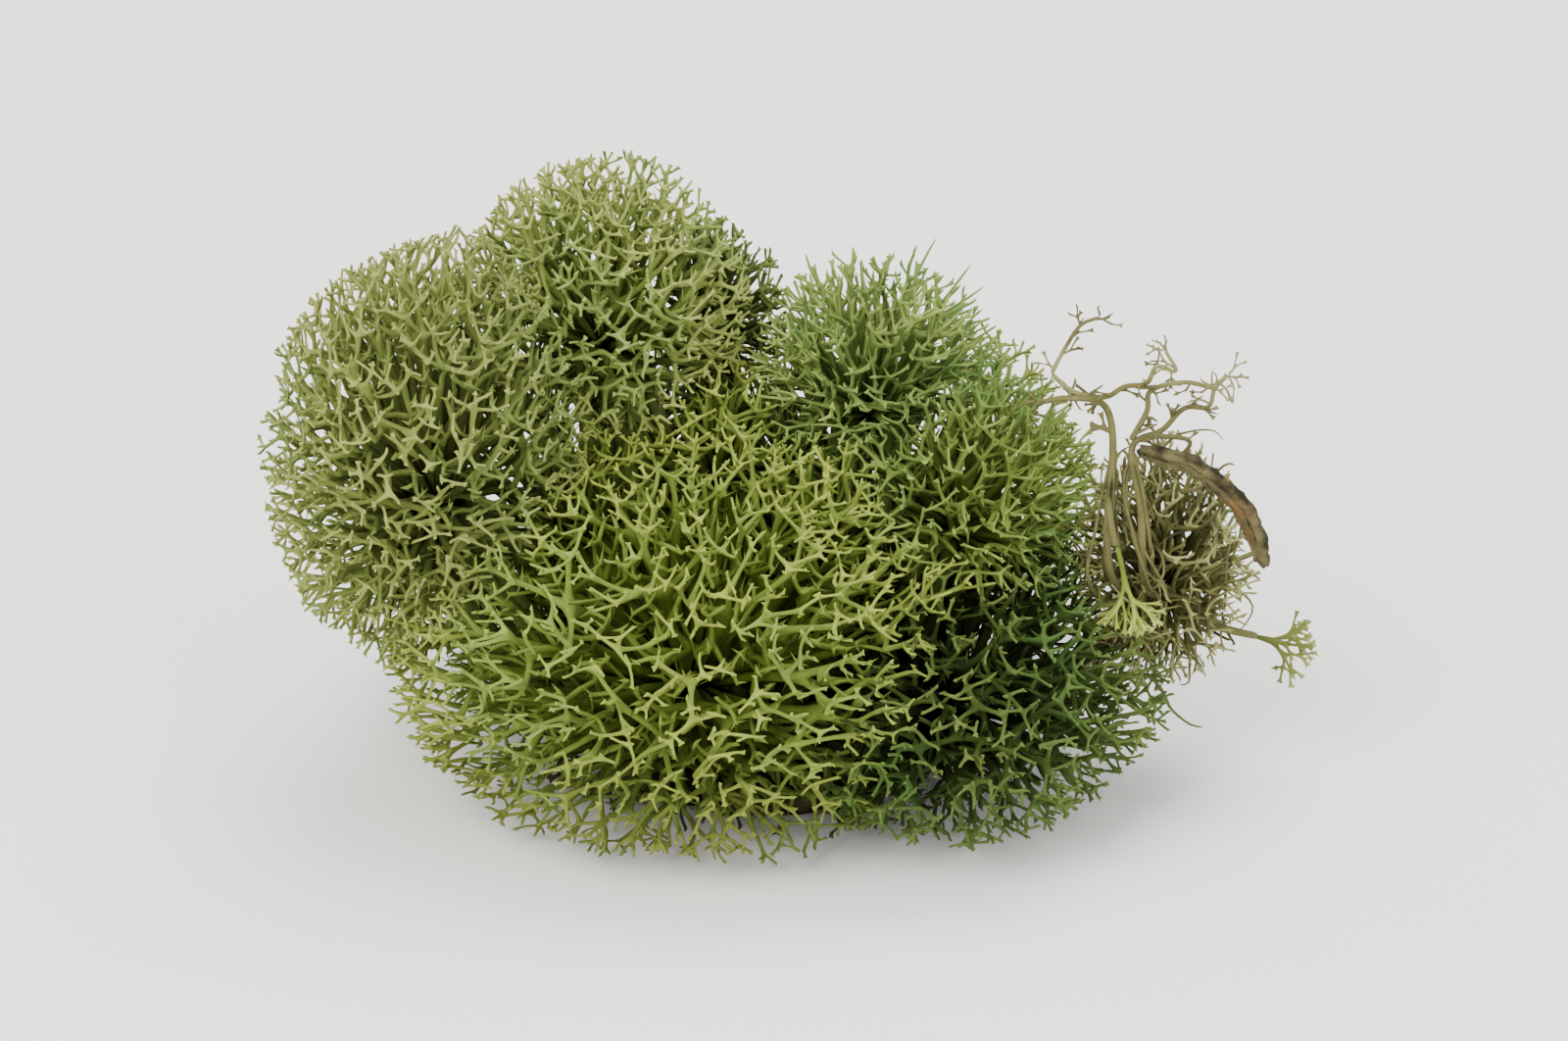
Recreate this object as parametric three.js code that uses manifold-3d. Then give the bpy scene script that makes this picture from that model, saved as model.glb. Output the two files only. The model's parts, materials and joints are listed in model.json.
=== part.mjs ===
// A clump of preserved cushion lichen, dyed green, as picked and set down.
// Tufts of forked stalks swell into rounded heads that press against each other, and every tuft is
// rooted in one mat of old, undyed growth, which also carries a dry tangle on the clump's right.
// Millimetres. The clump stands on z = 0, x runs to its right and y to its back.
import * as THREE from "three";
import { ConvexGeometry } from "three/addons/geometries/ConvexGeometry.js";
import { mergeVertices } from "three/addons/utils/BufferGeometryUtils.js";
import Module from "manifold-3d";

const wasm = await Module();
wasm.setup();

// Driving dimensions
const NEIGHBOUR_GAP = 0.35;
const LIMB_GAP = 0.03;
const LOWEST_TIP = 0.9;
const LOWEST_ROOT = 1.5;
const LOWEST_OUTER = 2.4;
const SHAKES = [0.1, 0.3];
const STALK_STEPS = 3;
const UNDERSIDE = -0.3;
const UNDERSIDE_FORKS = 2;
const LUMP_HEIGHT = 0.08;
const LUMP_LENGTH = 4.2;
const CORE_SHARE = 0.33;
const CORE_CORNERS = 30;
const COVERED = 0.78;
const SUNK_DEPTH = 1.3;
const CROTCH_RISE = 0.55;
const SIDES = 3;
const THIRD_TURN = (2 * Math.PI) / SIDES;
const TWIST = Math.PI / 6;
const CROWN_SEED = 100;
const STALK_SEED = 200;

// The radius of a crown's trunk and of each further branch, and how far each fork rises where there is room
const LIMB_RADII = [1.05, 0.8, 0.58];
const RISES = [3.1, 2.2];
const TIP_RISE = 1.7;
const TIP_STEP = 0.2;
const FULL_LENGTH = 8;
const SHORTEST_TRUNK = 0.6;

// The tuft of stalks that carries a head, from a ring on the mat up into the head's core
const STALKS = { count: 4, ring: 2.2, lowRadius: 1.3, highRadius: 0.9, foot: 3.5, sway: 1.6, tries: 10 };

// The mat: the middle and half sizes of its mound, its flat spot's radius and its rim of short branches
const MAT = {
  centre: [-1, 0, 1.5], radii: [14.5, 13, 4.8], spot: 11.5, corners: 60, lowestCorner: 1, spotCorners: 12,
  rim: {
    centre: [-1, 0, 3], radii: [20.5, 19, 6.5], core: [13.5, 12, 3.8], highest: 4.6,
    spacing: 8.4, forks: 2, tip: [1.4, 2.8],
  },
};

// Each head: the middle and half sizes of its rounded outline, where its stalks meet the mat, the distance
// between its crowns of branches, how often they fork, and its shortest and longest tips
const HEADS = [
  {
    name: "head_top", colour: 0x7f8a45, centre: [-15.6, 8, 38.5], radii: [12.6, 13.5, 13.2],
    root: [-9, 3], spacing: 12.4, forks: 3, tip: [1.4, 2.9], seed: 11,
  },
  {
    name: "head_crest", colour: 0x66713a, centre: [-7, 15.5, 35.4], radii: [6.9, 7.5, 8.2],
    root: [-2, 7.5], spacing: 7, forks: 2, tip: [1.4, 2.9], seed: 12,
  },
  {
    name: "head_upper_right", colour: 0x6a7a3c, centre: [7.3, 5, 33], radii: [10.8, 11.5, 11.2],
    root: [5, 3.5], spacing: 11.8, forks: 3, tip: [2, 4.2], seed: 13,
  },
  {
    name: "head_shoulder", colour: 0x5f7538, centre: [14.8, -2, 25.4], radii: [11.8, 12.8, 11.6],
    root: [10.5, 6], spacing: 12.2, forks: 3, tip: [2, 4.2], seed: 18,
  },
  {
    name: "head_left", colour: 0x848d4a, centre: [-30.2, -3, 30], radii: [14, 16.5, 18.5],
    root: [-13.5, -2.5], spacing: 13, forks: 3, tip: [1.4, 2.9], seed: 14,
  },
  {
    name: "head_front", colour: 0x75833b, centre: [-8, -9.5, 15.5], radii: [25.5, 21.5, 17.5],
    root: [-5, -7.5], spacing: 13.4, forks: 3, tip: [1.6, 3.2], seed: 15,
  },
  {
    name: "head_right_low", colour: 0x46552a, centre: [14, -9, 12], radii: [18, 20.5, 12],
    root: [8.5, -7.5], spacing: 13.2, forks: 3, tip: [1.6, 3.2], seed: 16,
  },
  {
    name: "head_back_left", colour: 0x77843f, centre: [-18, 15, 18], radii: [17, 15.5, 17],
    root: [-10, 10.5], spacing: 14.6, forks: 3, tip: [1.4, 3.1], seed: 17,
  },
  {
    name: "head_back_right", colour: 0x6b7a3c, centre: [9, 16, 17.5], radii: [19, 15, 16.5],
    root: [5.5, 11.5], spacing: 14.4, forks: 3, tip: [1.4, 3.1], seed: 19,
  },
];

// The dry tangle of the old growth
const TANGLE = {
  name: "old_growth", colour: 0x6f6a45, centre: [32.8, -2, 19.5], radii: [8, 8.8, 10.8], core: [3, 3.4, 5.5],
  spacing: 5.6, forks: 2, tip: [1.2, 2.4], seed: 21,
};

// Stalks of old growth as centre lines: x, y, z and radius at each point. The first carries the tangle, and the
// last two end just short of the two sprigs that grew on them.
const DRY_STALKS = [
  [[12, -0.5, 2.6, 2.2], [20.5, 2.5, 4.6, 1.9], [28.5, 3, 9.5, 1.9], [32.5, -1, 16, 2.1]],
  [
    [31.5, -3, 15, 0.9], [28.2, -8.4, 21, 0.75], [27.8, -8.4, 27, 0.7], [28.2, -7, 33, 0.65],
    [27.4, -5.4, 36, 0.6], [24.4, -5, 36.4, 0.55], [21.4, -5, 35.9, 0.45],
  ],
  [
    [33, -3, 16, 0.85], [31, -9, 20.9, 0.75], [30.6, -9, 28, 0.7], [29.8, -7, 32.7, 0.6],
    [32.4, -6, 33.8, 0.5], [34.3, -5.5, 35.7, 0.45], [36.4, -5.1, 35.6, 0.4], [36.9, -5, 37.3, 0.4],
    [38, -5, 38.5, 0.3],
  ],
  [
    [29.7, -6.8, 33.2, 0.55], [31.1, -6, 35.6, 0.5], [31.4, -5.4, 37.3, 0.45], [34.3, -5, 37.9, 0.4],
    [36.9, -5, 37.3, 0.4],
  ],
  [
    [22.9, -5, 38.7, 0.4], [24.8, -5, 37, 0.45], [27.5, -5, 36.5, 0.5], [29.2, -5, 37.5, 0.45],
    [31.1, -5, 37.8, 0.45], [31.9, -5, 39.4, 0.4], [33.6, -5, 38.9, 0.36], [32.6, -5, 40.9, 0.3],
  ],
  [[22.9, -5, 38.7, 0.4], [23.9, -5, 40.8, 0.36], [25.3, -5, 43.2, 0.34], [27, -5, 44, 0.3]],
  [[31, -6.5, 33.6, 0.5], [34.8, -6, 32.9, 0.4], [33.8, -6, 31, 0.35]],
  [[27.8, -8.4, 28.6, 0.65], [27.9, -10.2, 27.6, 0.6], [28.32, -11.09, 25.83, 0.55]],
  [[33.5, -2.5, 15.5, 0.9], [37.15, -3.66, 14.15, 0.75], [40.06, -3.96, 13.48, 0.65]],
];

// A strip of dry bark caught in the tangle: its centre line, half widths along it and thickness
const STRIP = {
  name: "bark_strip", colour: 0x8a7a50, thickness: 0.8, steps: 10, across: [0.25, -0.75, 0.6],
  line: [[30.8, -7.8, 32.5], [34.6, -8.6, 31.6], [37.6, -8.8, 29.4], [39.8, -8.8, 26.4], [41, -8.4, 22.8]],
  halfWidths: [0.6, 1.3, 1.45, 1.3, 0.6],
};

// Two sprigs that stand clear of the heads
const SPRIGS = [
  {
    name: "sprig_front", colour: 0x98a25a, root: [28.4, -11.2, 25.5], heading: [0.22, -0.3, -0.93],
    stalk: 4.4, radius: 0.72, lengths: [2.1, 1.8], tip: 1.9, spread: 0.42, seed: 31,
  },
  {
    name: "sprig_right", colour: 0x77803f, root: [40.4, -4, 13.4], heading: [0.95, -0.1, -0.22],
    stalk: 2.2, radius: 0.72, lengths: [2], tip: 2.2, spread: 0.85, seed: 33,
  },
];

const vector = (list) => new THREE.Vector3(...list);
const between = (low, high, share) => low + (high - low) * share;

/** A repeatable stream of numbers from 0 to 1. */
function seededRandom(seed) {
  let state = seed * 7919 + 1;
  return () => {
    state = (state + 0x6d2b79f5) | 0;
    let t = Math.imul(state ^ (state >>> 15), 1 | state);
    t = (t + Math.imul(t ^ (t >>> 7), 61 | t)) ^ t;
    return ((t ^ (t >>> 14)) >>> 0) / 4294967296;
  };
}

/** A closed geometry as a solid. */
function solidOf(geometry) {
  const bare = geometry.clone();
  bare.deleteAttribute("normal");
  bare.deleteAttribute("uv");
  const merged = mergeVertices(bare, 1e-3);
  return solidFrom(merged.attributes.position.array, merged.index.array);
}

/** Corners and faces, as flat lists, as a solid. */
function solidFrom(corners, faces) {
  return new wasm.Manifold(new wasm.Mesh({
    numProp: 3,
    vertProperties: new Float32Array(corners),
    triVerts: new Uint32Array(faces),
  }));
}

/** A solid as a geometry with flat faces. */
function geometryOf(solid) {
  const mesh = solid.getMesh();
  const geometry = new THREE.BufferGeometry();
  geometry.setAttribute("position", new THREE.BufferAttribute(mesh.vertProperties, 3));
  geometry.setIndex(new THREE.BufferAttribute(mesh.triVerts, 1));
  const flat = geometry.toNonIndexed();
  flat.computeVertexNormals();
  return flat;
}

/** The largest body of a solid, without the scraps that a cut leaves. */
function largestBody(solid) {
  return solid.decompose().sort((a, b) => b.volume() - a.volume())[0];
}

/** How uneven a head's outline is at a point, about zero. */
function lump({ x, y, z }) {
  const wave = (along, phase) => Math.sin(along / LUMP_LENGTH + phase);
  return LUMP_HEIGHT * wave(x, 1.3) * wave(y, 0.4) * wave(z, 2.1);
}

/** How far out of a rounded outline a point is: 1 on the outline, 0 in its middle. */
function reach(point, { centre, radii }) {
  const share = point.clone().sub(vector(centre)).divide(vector(radii));
  return share.length() - lump(point);
}

/** Directions spread evenly over a sphere. */
function evenDirections(count, random) {
  const turn = Math.PI * (3 - Math.sqrt(5));
  const start = random() * 2 * Math.PI;
  return Array.from({ length: count }, (_, i) => {
    const z = 1 - (2 * (i + 0.5)) / count;
    const ring = Math.sqrt(1 - z * z);
    return new THREE.Vector3(ring * Math.cos(start + i * turn), ring * Math.sin(start + i * turn), z);
  });
}

/** A direction turned a little by chance. */
function shaken(direction, amount, random) {
  const push = new THREE.Vector3(random() - 0.5, random() - 0.5, random() - 0.5);
  return direction.clone().addScaledVector(push, 2 * amount).normalize();
}

/** A smooth line through points that each start with x, y and z. */
function curveThrough(points) {
  const places = points.map(([x, y, z]) => new THREE.Vector3(x, y, z));
  return new THREE.CatmullRomCurve3(places, false, "centripetal");
}

/** A convex shape with its faces as planes, so that a point's distance to it is quick to find. */
class Hull {
  constructor(corners) {
    this.solid = solidOf(new ConvexGeometry(corners));
    this.planes = [];
    const middle = corners.reduce((sum, c) => sum.add(c), new THREE.Vector3()).divideScalar(corners.length);
    const at = new ConvexGeometry(corners).attributes.position;
    for (let i = 0; i < at.count; i += 3) {
      const [a, b, c] = [i, i + 1, i + 2].map((k) => new THREE.Vector3().fromBufferAttribute(at, k));
      const plane = new THREE.Plane().setFromCoplanarPoints(a, b, c);
      if (plane.distanceToPoint(middle) > 0) plane.negate();
      this.planes.push(plane);
    }
  }

  /** At most the distance from a point outside to the shape, or below zero for a point inside. */
  distance(point) {
    return Math.max(...this.planes.map((plane) => plane.distanceToPoint(point)));
  }
}

/** An uneven rounded core, grown by a margin. */
function coreHull(centre, radii, seed, grow = 0) {
  const random = seededRandom(seed);
  return new Hull(evenDirections(CORE_CORNERS, random).map((direction) => {
    const uneven = between(0.92, 1.06, random());
    const grown = radii.map((radius) => radius * uneven + grow);
    return vector(centre).add(direction.multiply(vector(grown)));
  }));
}

const coreRadii = (head) => head.radii.map((radius) => radius * CORE_SHARE);
const headCore = (head, grow) => coreHull(head.centre, coreRadii(head), head.seed, grow);

/** The mat of old growth: a low mound with a flat spot to rest on. A grown one is larger all round. */
function matHull(grow = 0) {
  const random = seededRandom(3);
  const [cx, cy] = MAT.centre;
  const radii = MAT.radii.map((radius) => radius + grow);
  const corners = evenDirections(MAT.corners, random)
    .map((direction) => vector(MAT.centre).add(direction.multiply(vector(radii)).multiplyScalar(
      between(0.96, 1.03, random()))))
    .filter((corner) => corner.z > MAT.lowestCorner);
  for (let i = 0; i < MAT.spotCorners; i++) {
    const angle = (i / MAT.spotCorners) * 2 * Math.PI;
    const radius = MAT.spot + grow;
    corners.push(new THREE.Vector3(cx + radius * Math.cos(angle), cy + radius * Math.sin(angle), -grow));
  }
  return new Hull(corners);
}

/** The least distance between two limbs' centre lines, leaving out a share of the first one's start. */
function distanceBetween(a, b, leftOut) {
  let least = Infinity;
  const line = new THREE.Line3(b.start, b.end);
  const nearest = new THREE.Vector3();
  for (let i = 0; i <= 6; i++) {
    const point = a.start.clone().lerp(a.end, between(leftOut, 1, i / 6));
    line.closestPointToPoint(point, true, nearest);
    least = Math.min(least, nearest.distanceTo(point));
  }
  return least;
}

/** The room that limbs and cores take up, so that a new limb can be kept clear of them. */
class Room {
  constructor() {
    this.cell = 5;
    this.grid = new Map();
    this.cores = new Map();
  }

  /** The grid's cells that a limb passes through or near. */
  cellsOf(limb) {
    const found = new Set();
    const steps = Math.ceil(limb.start.distanceTo(limb.end) / 1.5) + 1;
    const near = [-1.5, 1.5];
    for (let i = 0; i <= steps; i++) {
      const p = limb.start.clone().lerp(limb.end, i / steps);
      near.forEach((dx) => near.forEach((dy) => near.forEach((dz) => {
        found.add([p.x + dx, p.y + dy, p.z + dz].map((v) => Math.floor(v / this.cell)).join());
      })));
    }
    return found;
  }

  /** Whether a limb of a body is clear of other bodies' cores. */
  isClearOfCores(limb, body, ignored) {
    return [...this.cores].every(([owner, core]) => owner === body || owner === ignored
      || [0, 0.5, 1].every((share) => {
        const point = limb.start.clone().lerp(limb.end, share);
        return core.distance(point) > limb.radius + NEIGHBOUR_GAP;
      }));
  }

  /** Whether a limb of a body is clear of every limb but its kin and its own body's stalks. */
  isClearOfLimbs(limb, body, kin = []) {
    for (const cell of this.cellsOf(limb)) {
      for (const other of this.grid.get(cell) ?? []) {
        const isOwn = other.body === body;
        if (kin.includes(other) || (isOwn && other.isStalk)) continue;
        const gap = isOwn ? LIMB_GAP : NEIGHBOUR_GAP;
        const leftOut = other.crown === limb.crown ? 0.35 : 0;
        if (distanceBetween(limb, other, leftOut) < limb.radius + other.radius + gap) return false;
      }
    }
    return true;
  }

  isClear(limb, body, kin) {
    return this.isClearOfCores(limb, body) && this.isClearOfLimbs(limb, body, kin);
  }

  add(limb, body) {
    limb.body = body;
    for (const cell of this.cellsOf(limb)) {
      if (!this.grid.has(cell)) this.grid.set(cell, []);
      this.grid.get(cell).push(limb);
    }
  }
}

/** The straight pieces of a stalk's bent path, for points that each hold x, y, z and the radius there. */
function limbsAlong(points) {
  const crown = {};
  const curve = curveThrough(points);
  const steps = (points.length - 1) * STALK_STEPS;
  return Array.from({ length: steps }, (_, i) => {
    const low = Math.floor(i / STALK_STEPS);
    const radius = Math.max(points[low][3], points[low + 1][3]);
    const [start, end] = [i, i + 1].map((step) => curve.getPoint(step / steps));
    return { start, end, radius, crown };
  });
}

/** Corners of a regular ring round a limb's end, the first one turned towards a given direction. */
function ringAt(centre, axis, towards, radius) {
  const u = towards.clone().addScaledVector(axis, -towards.dot(axis)).normalize();
  const w = axis.clone().cross(u);
  return Array.from({ length: SIDES }, (_, k) => centre.clone()
    .addScaledVector(u, radius * Math.cos(k * THIRD_TURN))
    .addScaledVector(w, radius * Math.sin(k * THIRD_TURN)));
}

const middleOf = (points) => points.reduce((sum, p) => sum.add(p), new THREE.Vector3()).divideScalar(points.length);
const crotchOf = (limb) => limb.end.clone().addScaledVector(limb.heading, limb.radius * CROTCH_RISE);

/** A limb that grows from a ring of corners. One that ends in a point has an end radius of 0. */
function limbFrom(base, axis, length, endRadius, crown, twist = 0) {
  const start = middleOf(base);
  const end = start.clone().addScaledVector(axis, length);
  end.z = Math.max(end.z, LOWEST_TIP + endRadius);
  const heading = end.clone().sub(start).normalize();
  const towards = base[0].clone().sub(start).applyAxisAngle(heading, twist);
  const ring = endRadius > 0 ? ringAt(end, heading, towards, endRadius) : null;
  const radius = Math.max(endRadius, base[0].distanceTo(start) * 0.8);
  return { base, start, end, ring, heading, radius, crown, limbs: [] };
}

/** The three openings at a limb's end, each with the side that it faces. */
function openingsOf(limb) {
  return limb.ring.map((corner, k) => {
    const next = limb.ring[(k + 1) % SIDES];
    const side = corner.clone().add(next).multiplyScalar(0.5).sub(limb.end).normalize();
    return { base: [corner, next, crotchOf(limb)], side };
  });
}

/** The way out of a rounded body from a point inside it. */
function outwards(point, { centre, radii }) {
  return point.clone().sub(vector(centre)).divide(vector(radii)).divide(vector(radii)).normalize();
}

/** How long a tip must be to end at its body's outline, give or take. */
function tipLength(start, heading, style, random) {
  const goal = between(0.96, 1.05, random());
  const [shortest, longest] = style.tip;
  let length = shortest;
  while (length < longest && reach(start.clone().addScaledVector(heading, length), style) < goal) {
    length += TIP_STEP;
  }
  return length;
}

/** The first branch or tip from an opening that is clear of its neighbours, steeper and shorter at each try. */
function clearLimb(opening, parent, level, squash, style, { body, room, random, covers }) {
  const last = level === style.forks;
  const across = style.spacing / 3 ** (1 + (level - 1) / 2);
  const rise = last ? TIP_RISE : RISES[level - 1] * squash;
  const up = outwards(parent.end, style);
  const start = middleOf(opening.base);
  for (const [lean, share] of [[1, 1], [0.7, 0.9], [0.35, 0.7]]) {
    const way = up.clone().multiplyScalar(rise).addScaledVector(opening.side, across * lean);
    const heading = shaken(way.clone().normalize(), 0.1, random);
    const length = (last ? tipLength(start, heading, style, random) : way.length()) * share;
    const radius = last ? 0 : LIMB_RADII[level];
    const twist = random() < 0.5 ? TWIST : -TWIST;
    const limb = limbFrom(opening.base, heading, length, radius, parent.crown, twist);
    if (covers(limb.end)) continue;
    if (room.isClear(limb, body, [parent, ...parent.limbs])) return limb;
  }
  return null;
}

/** Forks a limb into three, and each of those again, until the last ones are tips. */
function forkLimb(limb, level, squash, style, context) {
  for (const opening of openingsOf(limb)) {
    const next = clearLimb(opening, limb, level, squash, style, context);
    limb.limbs.push(next);
    if (next) context.room.add(next, context.body);
  }
  if (level === style.forks) return;
  limb.limbs.filter((next) => next).forEach((next) => forkLimb(next, level + 1, squash, style, context));
}

/** A crown: a trunk that forks again and again up to the body's outline. Null where there is no room. */
function growCrown(site, style, context) {
  const { room, body, random } = context;
  const towards = shaken(new THREE.Vector3(0.3, 0.8, 0.5), 1, random);
  const base = ringAt(site.root, site.heading, towards, LIMB_RADII[0]);
  const squash = Math.min(site.length / FULL_LENGTH, 1);
  const rises = RISES.slice(0, style.forks - 1).reduce((sum, rise) => sum + rise * squash, TIP_RISE);
  const length = Math.max(site.length - rises, SHORTEST_TRUNK) + SUNK_DEPTH;
  const trunk = limbFrom(base, site.heading, length, LIMB_RADII[0] * 0.9, {});
  const seen = { ...trunk, start: trunk.start.clone().addScaledVector(site.heading, SUNK_DEPTH) };
  if (!room.isClear(seen, body)) return null;
  room.add(trunk, body);
  forkLimb(trunk, 1, squash, style, context);
  return trunk;
}

/** How many crowns a body's outline has room for. */
function crownCount({ radii: [rx, ry, rz], spacing }) {
  const power = 1.6;
  const mean = ((rx * ry) ** power + (rx * rz) ** power + (ry * rz) ** power) / 3;
  return Math.round((4 * Math.PI * mean ** (1 / power)) / spacing ** 2);
}

/** A place for a crown, in a direction from its body's middle: from the core's surface to the outline. */
function siteTowards(direction, body, core) {
  const outer = vector(body.centre).add(direction.clone().multiply(vector(body.radii)));
  const surface = vector(body.centre).add(direction.clone().multiply(vector(core)));
  outer.z = Math.max(outer.z, LOWEST_OUTER);
  const normal = direction.clone().divide(vector(body.radii)).normalize();
  const heading = outer.clone().sub(surface).normalize().lerp(normal, 0.35).normalize();
  const root = surface.clone().addScaledVector(heading, -SUNK_DEPTH);
  return { root, surface, heading, outer, length: outer.distanceTo(surface) };
}

/** The closed surface of a limb and all that grows from it. */
function limbSolid(trunk) {
  const corners = [];
  const faces = [];
  const index = (p) => corners.push(p.x, p.y, p.z) / 3 - 1;
  const skin = (ring, limb) => {
    if (!limb) {
      faces.push(...ring);
      return;
    }
    if (!limb.ring) {
      const point = index(limb.end);
      ring.forEach((corner, k) => faces.push(corner, ring[(k + 1) % SIDES], point));
      return;
    }
    const end = limb.ring.map(index);
    ring.forEach((corner, k) => {
      const n = (k + 1) % SIDES;
      faces.push(corner, ring[n], end[n], corner, end[n], end[k]);
    });
    if (limb.limbs.every((next) => !next)) {
      faces.push(...end);
      return;
    }
    const crotch = index(crotchOf(limb));
    limb.limbs.forEach((next, k) => skin([end[k], end[(k + 1) % SIDES], crotch], next));
  };
  const base = trunk.base.map(index);
  faces.push(base[0], base[2], base[1]);
  skin(base, trunk);
  return solidFrom(corners, faces);
}

/** A bent stalk through points that each hold x, y, z and the radius there. */
function stalkSolid(points) {
  const curve = curveThrough(points);
  const steps = (points.length - 1) * 2;
  const corners = [];
  const faces = [];
  let towards = new THREE.Vector3(0.2, 0.5, 0.8);
  for (let i = 0; i <= steps; i++) {
    const at = (i / steps) * (points.length - 1);
    const low = Math.min(Math.floor(at), points.length - 2);
    const radius = between(points[low][3], points[low + 1][3], at - low);
    const place = curve.getPoint(i / steps);
    const ring = ringAt(place, curve.getTangent(i / steps), towards, radius);
    towards = ring[0].clone().sub(place);
    ring.forEach((p) => corners.push(p.x, p.y, p.z));
  }
  for (let i = 0; i < steps; i++) {
    for (let k = 0; k < SIDES; k++) {
      const [a, b] = [SIDES * i + k, SIDES * i + ((k + 1) % SIDES)];
      faces.push(a, b, b + SIDES, a, b + SIDES, a + SIDES);
    }
  }
  const last = SIDES * steps;
  faces.push(0, 2, 1, last, last + 1, last + 2);
  return solidFrom(corners, faces);
}

/** A head's tuft of stalks, each from the mat up into the core by a way that is clear of other bodies. */
function growStalks(head, room, random) {
  const grown = [];
  for (let i = 0; i < STALKS.count; i++) {
    for (let attempt = 0; attempt < STALKS.tries; attempt++) {
      const angle = ((i + random()) / STALKS.count) * 2 * Math.PI;
      const side = new THREE.Vector3(Math.cos(angle), Math.sin(angle), 0);
      const low = new THREE.Vector3(...head.root, STALKS.foot).addScaledVector(side, STALKS.ring);
      const core = vector(head.radii).multiplyScalar(CORE_SHARE * 0.55);
      const high = vector(head.centre).add(side.clone().setZ(-0.7).multiply(core));
      const middle = low.clone().lerp(high, 0.5).addScaledVector(shaken(side, 0.5, random), STALKS.sway);
      const points = [
        [...low, STALKS.lowRadius],
        [...middle, between(STALKS.lowRadius, STALKS.highRadius, 0.5)],
        [...high, STALKS.highRadius],
      ];
      const limbs = limbsAlong(points);
      const clear = limbs.every((limb) => room.isClearOfCores(limb, head.name, TANGLE.name)
        && room.isClearOfLimbs(limb, head.name));
      if (!clear) continue;
      limbs.forEach((limb) => room.add({ ...limb, isStalk: true }, head.name));
      grown.push(stalkSolid(points));
      break;
    }
  }
  return grown;
}

/** Crowns spread evenly over a body, as solids, each with its tips out of the others' outlines. */
function growCrowns(style, core, others, context, highest = Infinity) {
  const covers = (point) => others.some((other) => reach(point, other) < COVERED);
  const crowns = [];
  for (const even of evenDirections(crownCount(style), context.random)) {
    const forks = even.z < UNDERSIDE ? Math.min(style.forks, UNDERSIDE_FORKS) : style.forks;
    for (const shake of SHAKES) {
      const site = siteTowards(shaken(even, shake, context.random), style, core);
      const { z } = site.surface;
      if (z < LOWEST_ROOT || z > highest || covers(site.outer)) continue;
      const crown = growCrown(site, { ...style, forks }, { ...context, covers });
      if (!crown) continue;
      crowns.push(limbSolid(crown));
      break;
    }
  }
  return crowns;
}

/** The mat with its rim, its tangle and its dry stalks, in one solid. */
function oldGrowthSolid(mat, room) {
  const context = { room, body: TANGLE.name, random: seededRandom(TANGLE.seed) };
  const core = coreHull(TANGLE.centre, TANGLE.core, TANGLE.seed).solid;
  const crowns = growCrowns(TANGLE, TANGLE.core, HEADS, context);
  const { rim } = MAT;
  const rimCrowns = growCrowns(rim, rim.core, [], context, rim.highest);
  return largestBody(wasm.Manifold.union([
    mat.solid, core, ...DRY_STALKS.map(stalkSolid), ...crowns, ...rimCrowns,
  ]));
}

/** A sprig: one bare stalk that forks into smaller and smaller branches. */
function sprigSolid(sprig, room) {
  const random = seededRandom(sprig.seed);
  const crown = {};
  const heading = vector(sprig.heading).normalize();
  const base = ringAt(vector(sprig.root), heading, new THREE.Vector3(0.1, 0.9, 0.4), sprig.radius);
  const grow = (limb, level) => {
    room.add(limb, sprig.name);
    if (!limb.ring) return;
    const last = level === sprig.lengths.length;
    for (const { base: ring, side } of openingsOf(limb)) {
      const length = (last ? sprig.tip : sprig.lengths[level]) * between(0.85, 1.15, random());
      const radius = last ? 0 : sprig.radius * 0.8 ** (level + 1);
      const way = limb.heading.clone().addScaledVector(side, Math.tan(sprig.spread)).normalize();
      const next = limbFrom(ring, shaken(way, 0.16, random), length, radius, crown);
      const clear = room.isClear(next, sprig.name, [limb, ...limb.limbs]);
      limb.limbs.push(clear ? next : null);
      if (clear) grow(next, level + 1);
    }
  };
  const trunk = limbFrom(base, heading, sprig.stalk, sprig.radius * 0.9, crown);
  grow(trunk, 0);
  return limbSolid(trunk);
}

/** The strip of bark: a thin arched band. */
function stripSolid() {
  const curve = curveThrough(STRIP.line);
  const corners = [];
  const faces = [];
  for (let i = 0; i <= STRIP.steps; i++) {
    const t = i / STRIP.steps;
    const along = curve.getTangent(t);
    const side = vector(STRIP.across).addScaledVector(along, -vector(STRIP.across).dot(along)).normalize();
    const up = along.clone().cross(side);
    const at = t * (STRIP.halfWidths.length - 1);
    const low = Math.min(Math.floor(at), STRIP.halfWidths.length - 2);
    const half = between(STRIP.halfWidths[low], STRIP.halfWidths[low + 1], at - low);
    for (const [s, u] of [[-1, -1], [1, -1], [1, 1], [-1, 1]]) {
      const edge = curve.getPoint(t).addScaledVector(side, s * half);
      const p = edge.addScaledVector(up, (u * STRIP.thickness) / 2);
      corners.push(p.x, p.y, p.z);
    }
  }
  for (let i = 0; i < STRIP.steps; i++) {
    for (let k = 0; k < 4; k++) {
      const [a, b] = [4 * i + k, 4 * i + ((k + 1) % 4)];
      faces.push(a, b, b + 4, a, b + 4, a + 4);
    }
  }
  const last = 4 * STRIP.steps;
  faces.push(2, 1, 0, 3, 2, 0, last, last + 1, last + 2, last, last + 2, last + 3);
  return solidFrom(corners, faces);
}

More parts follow.
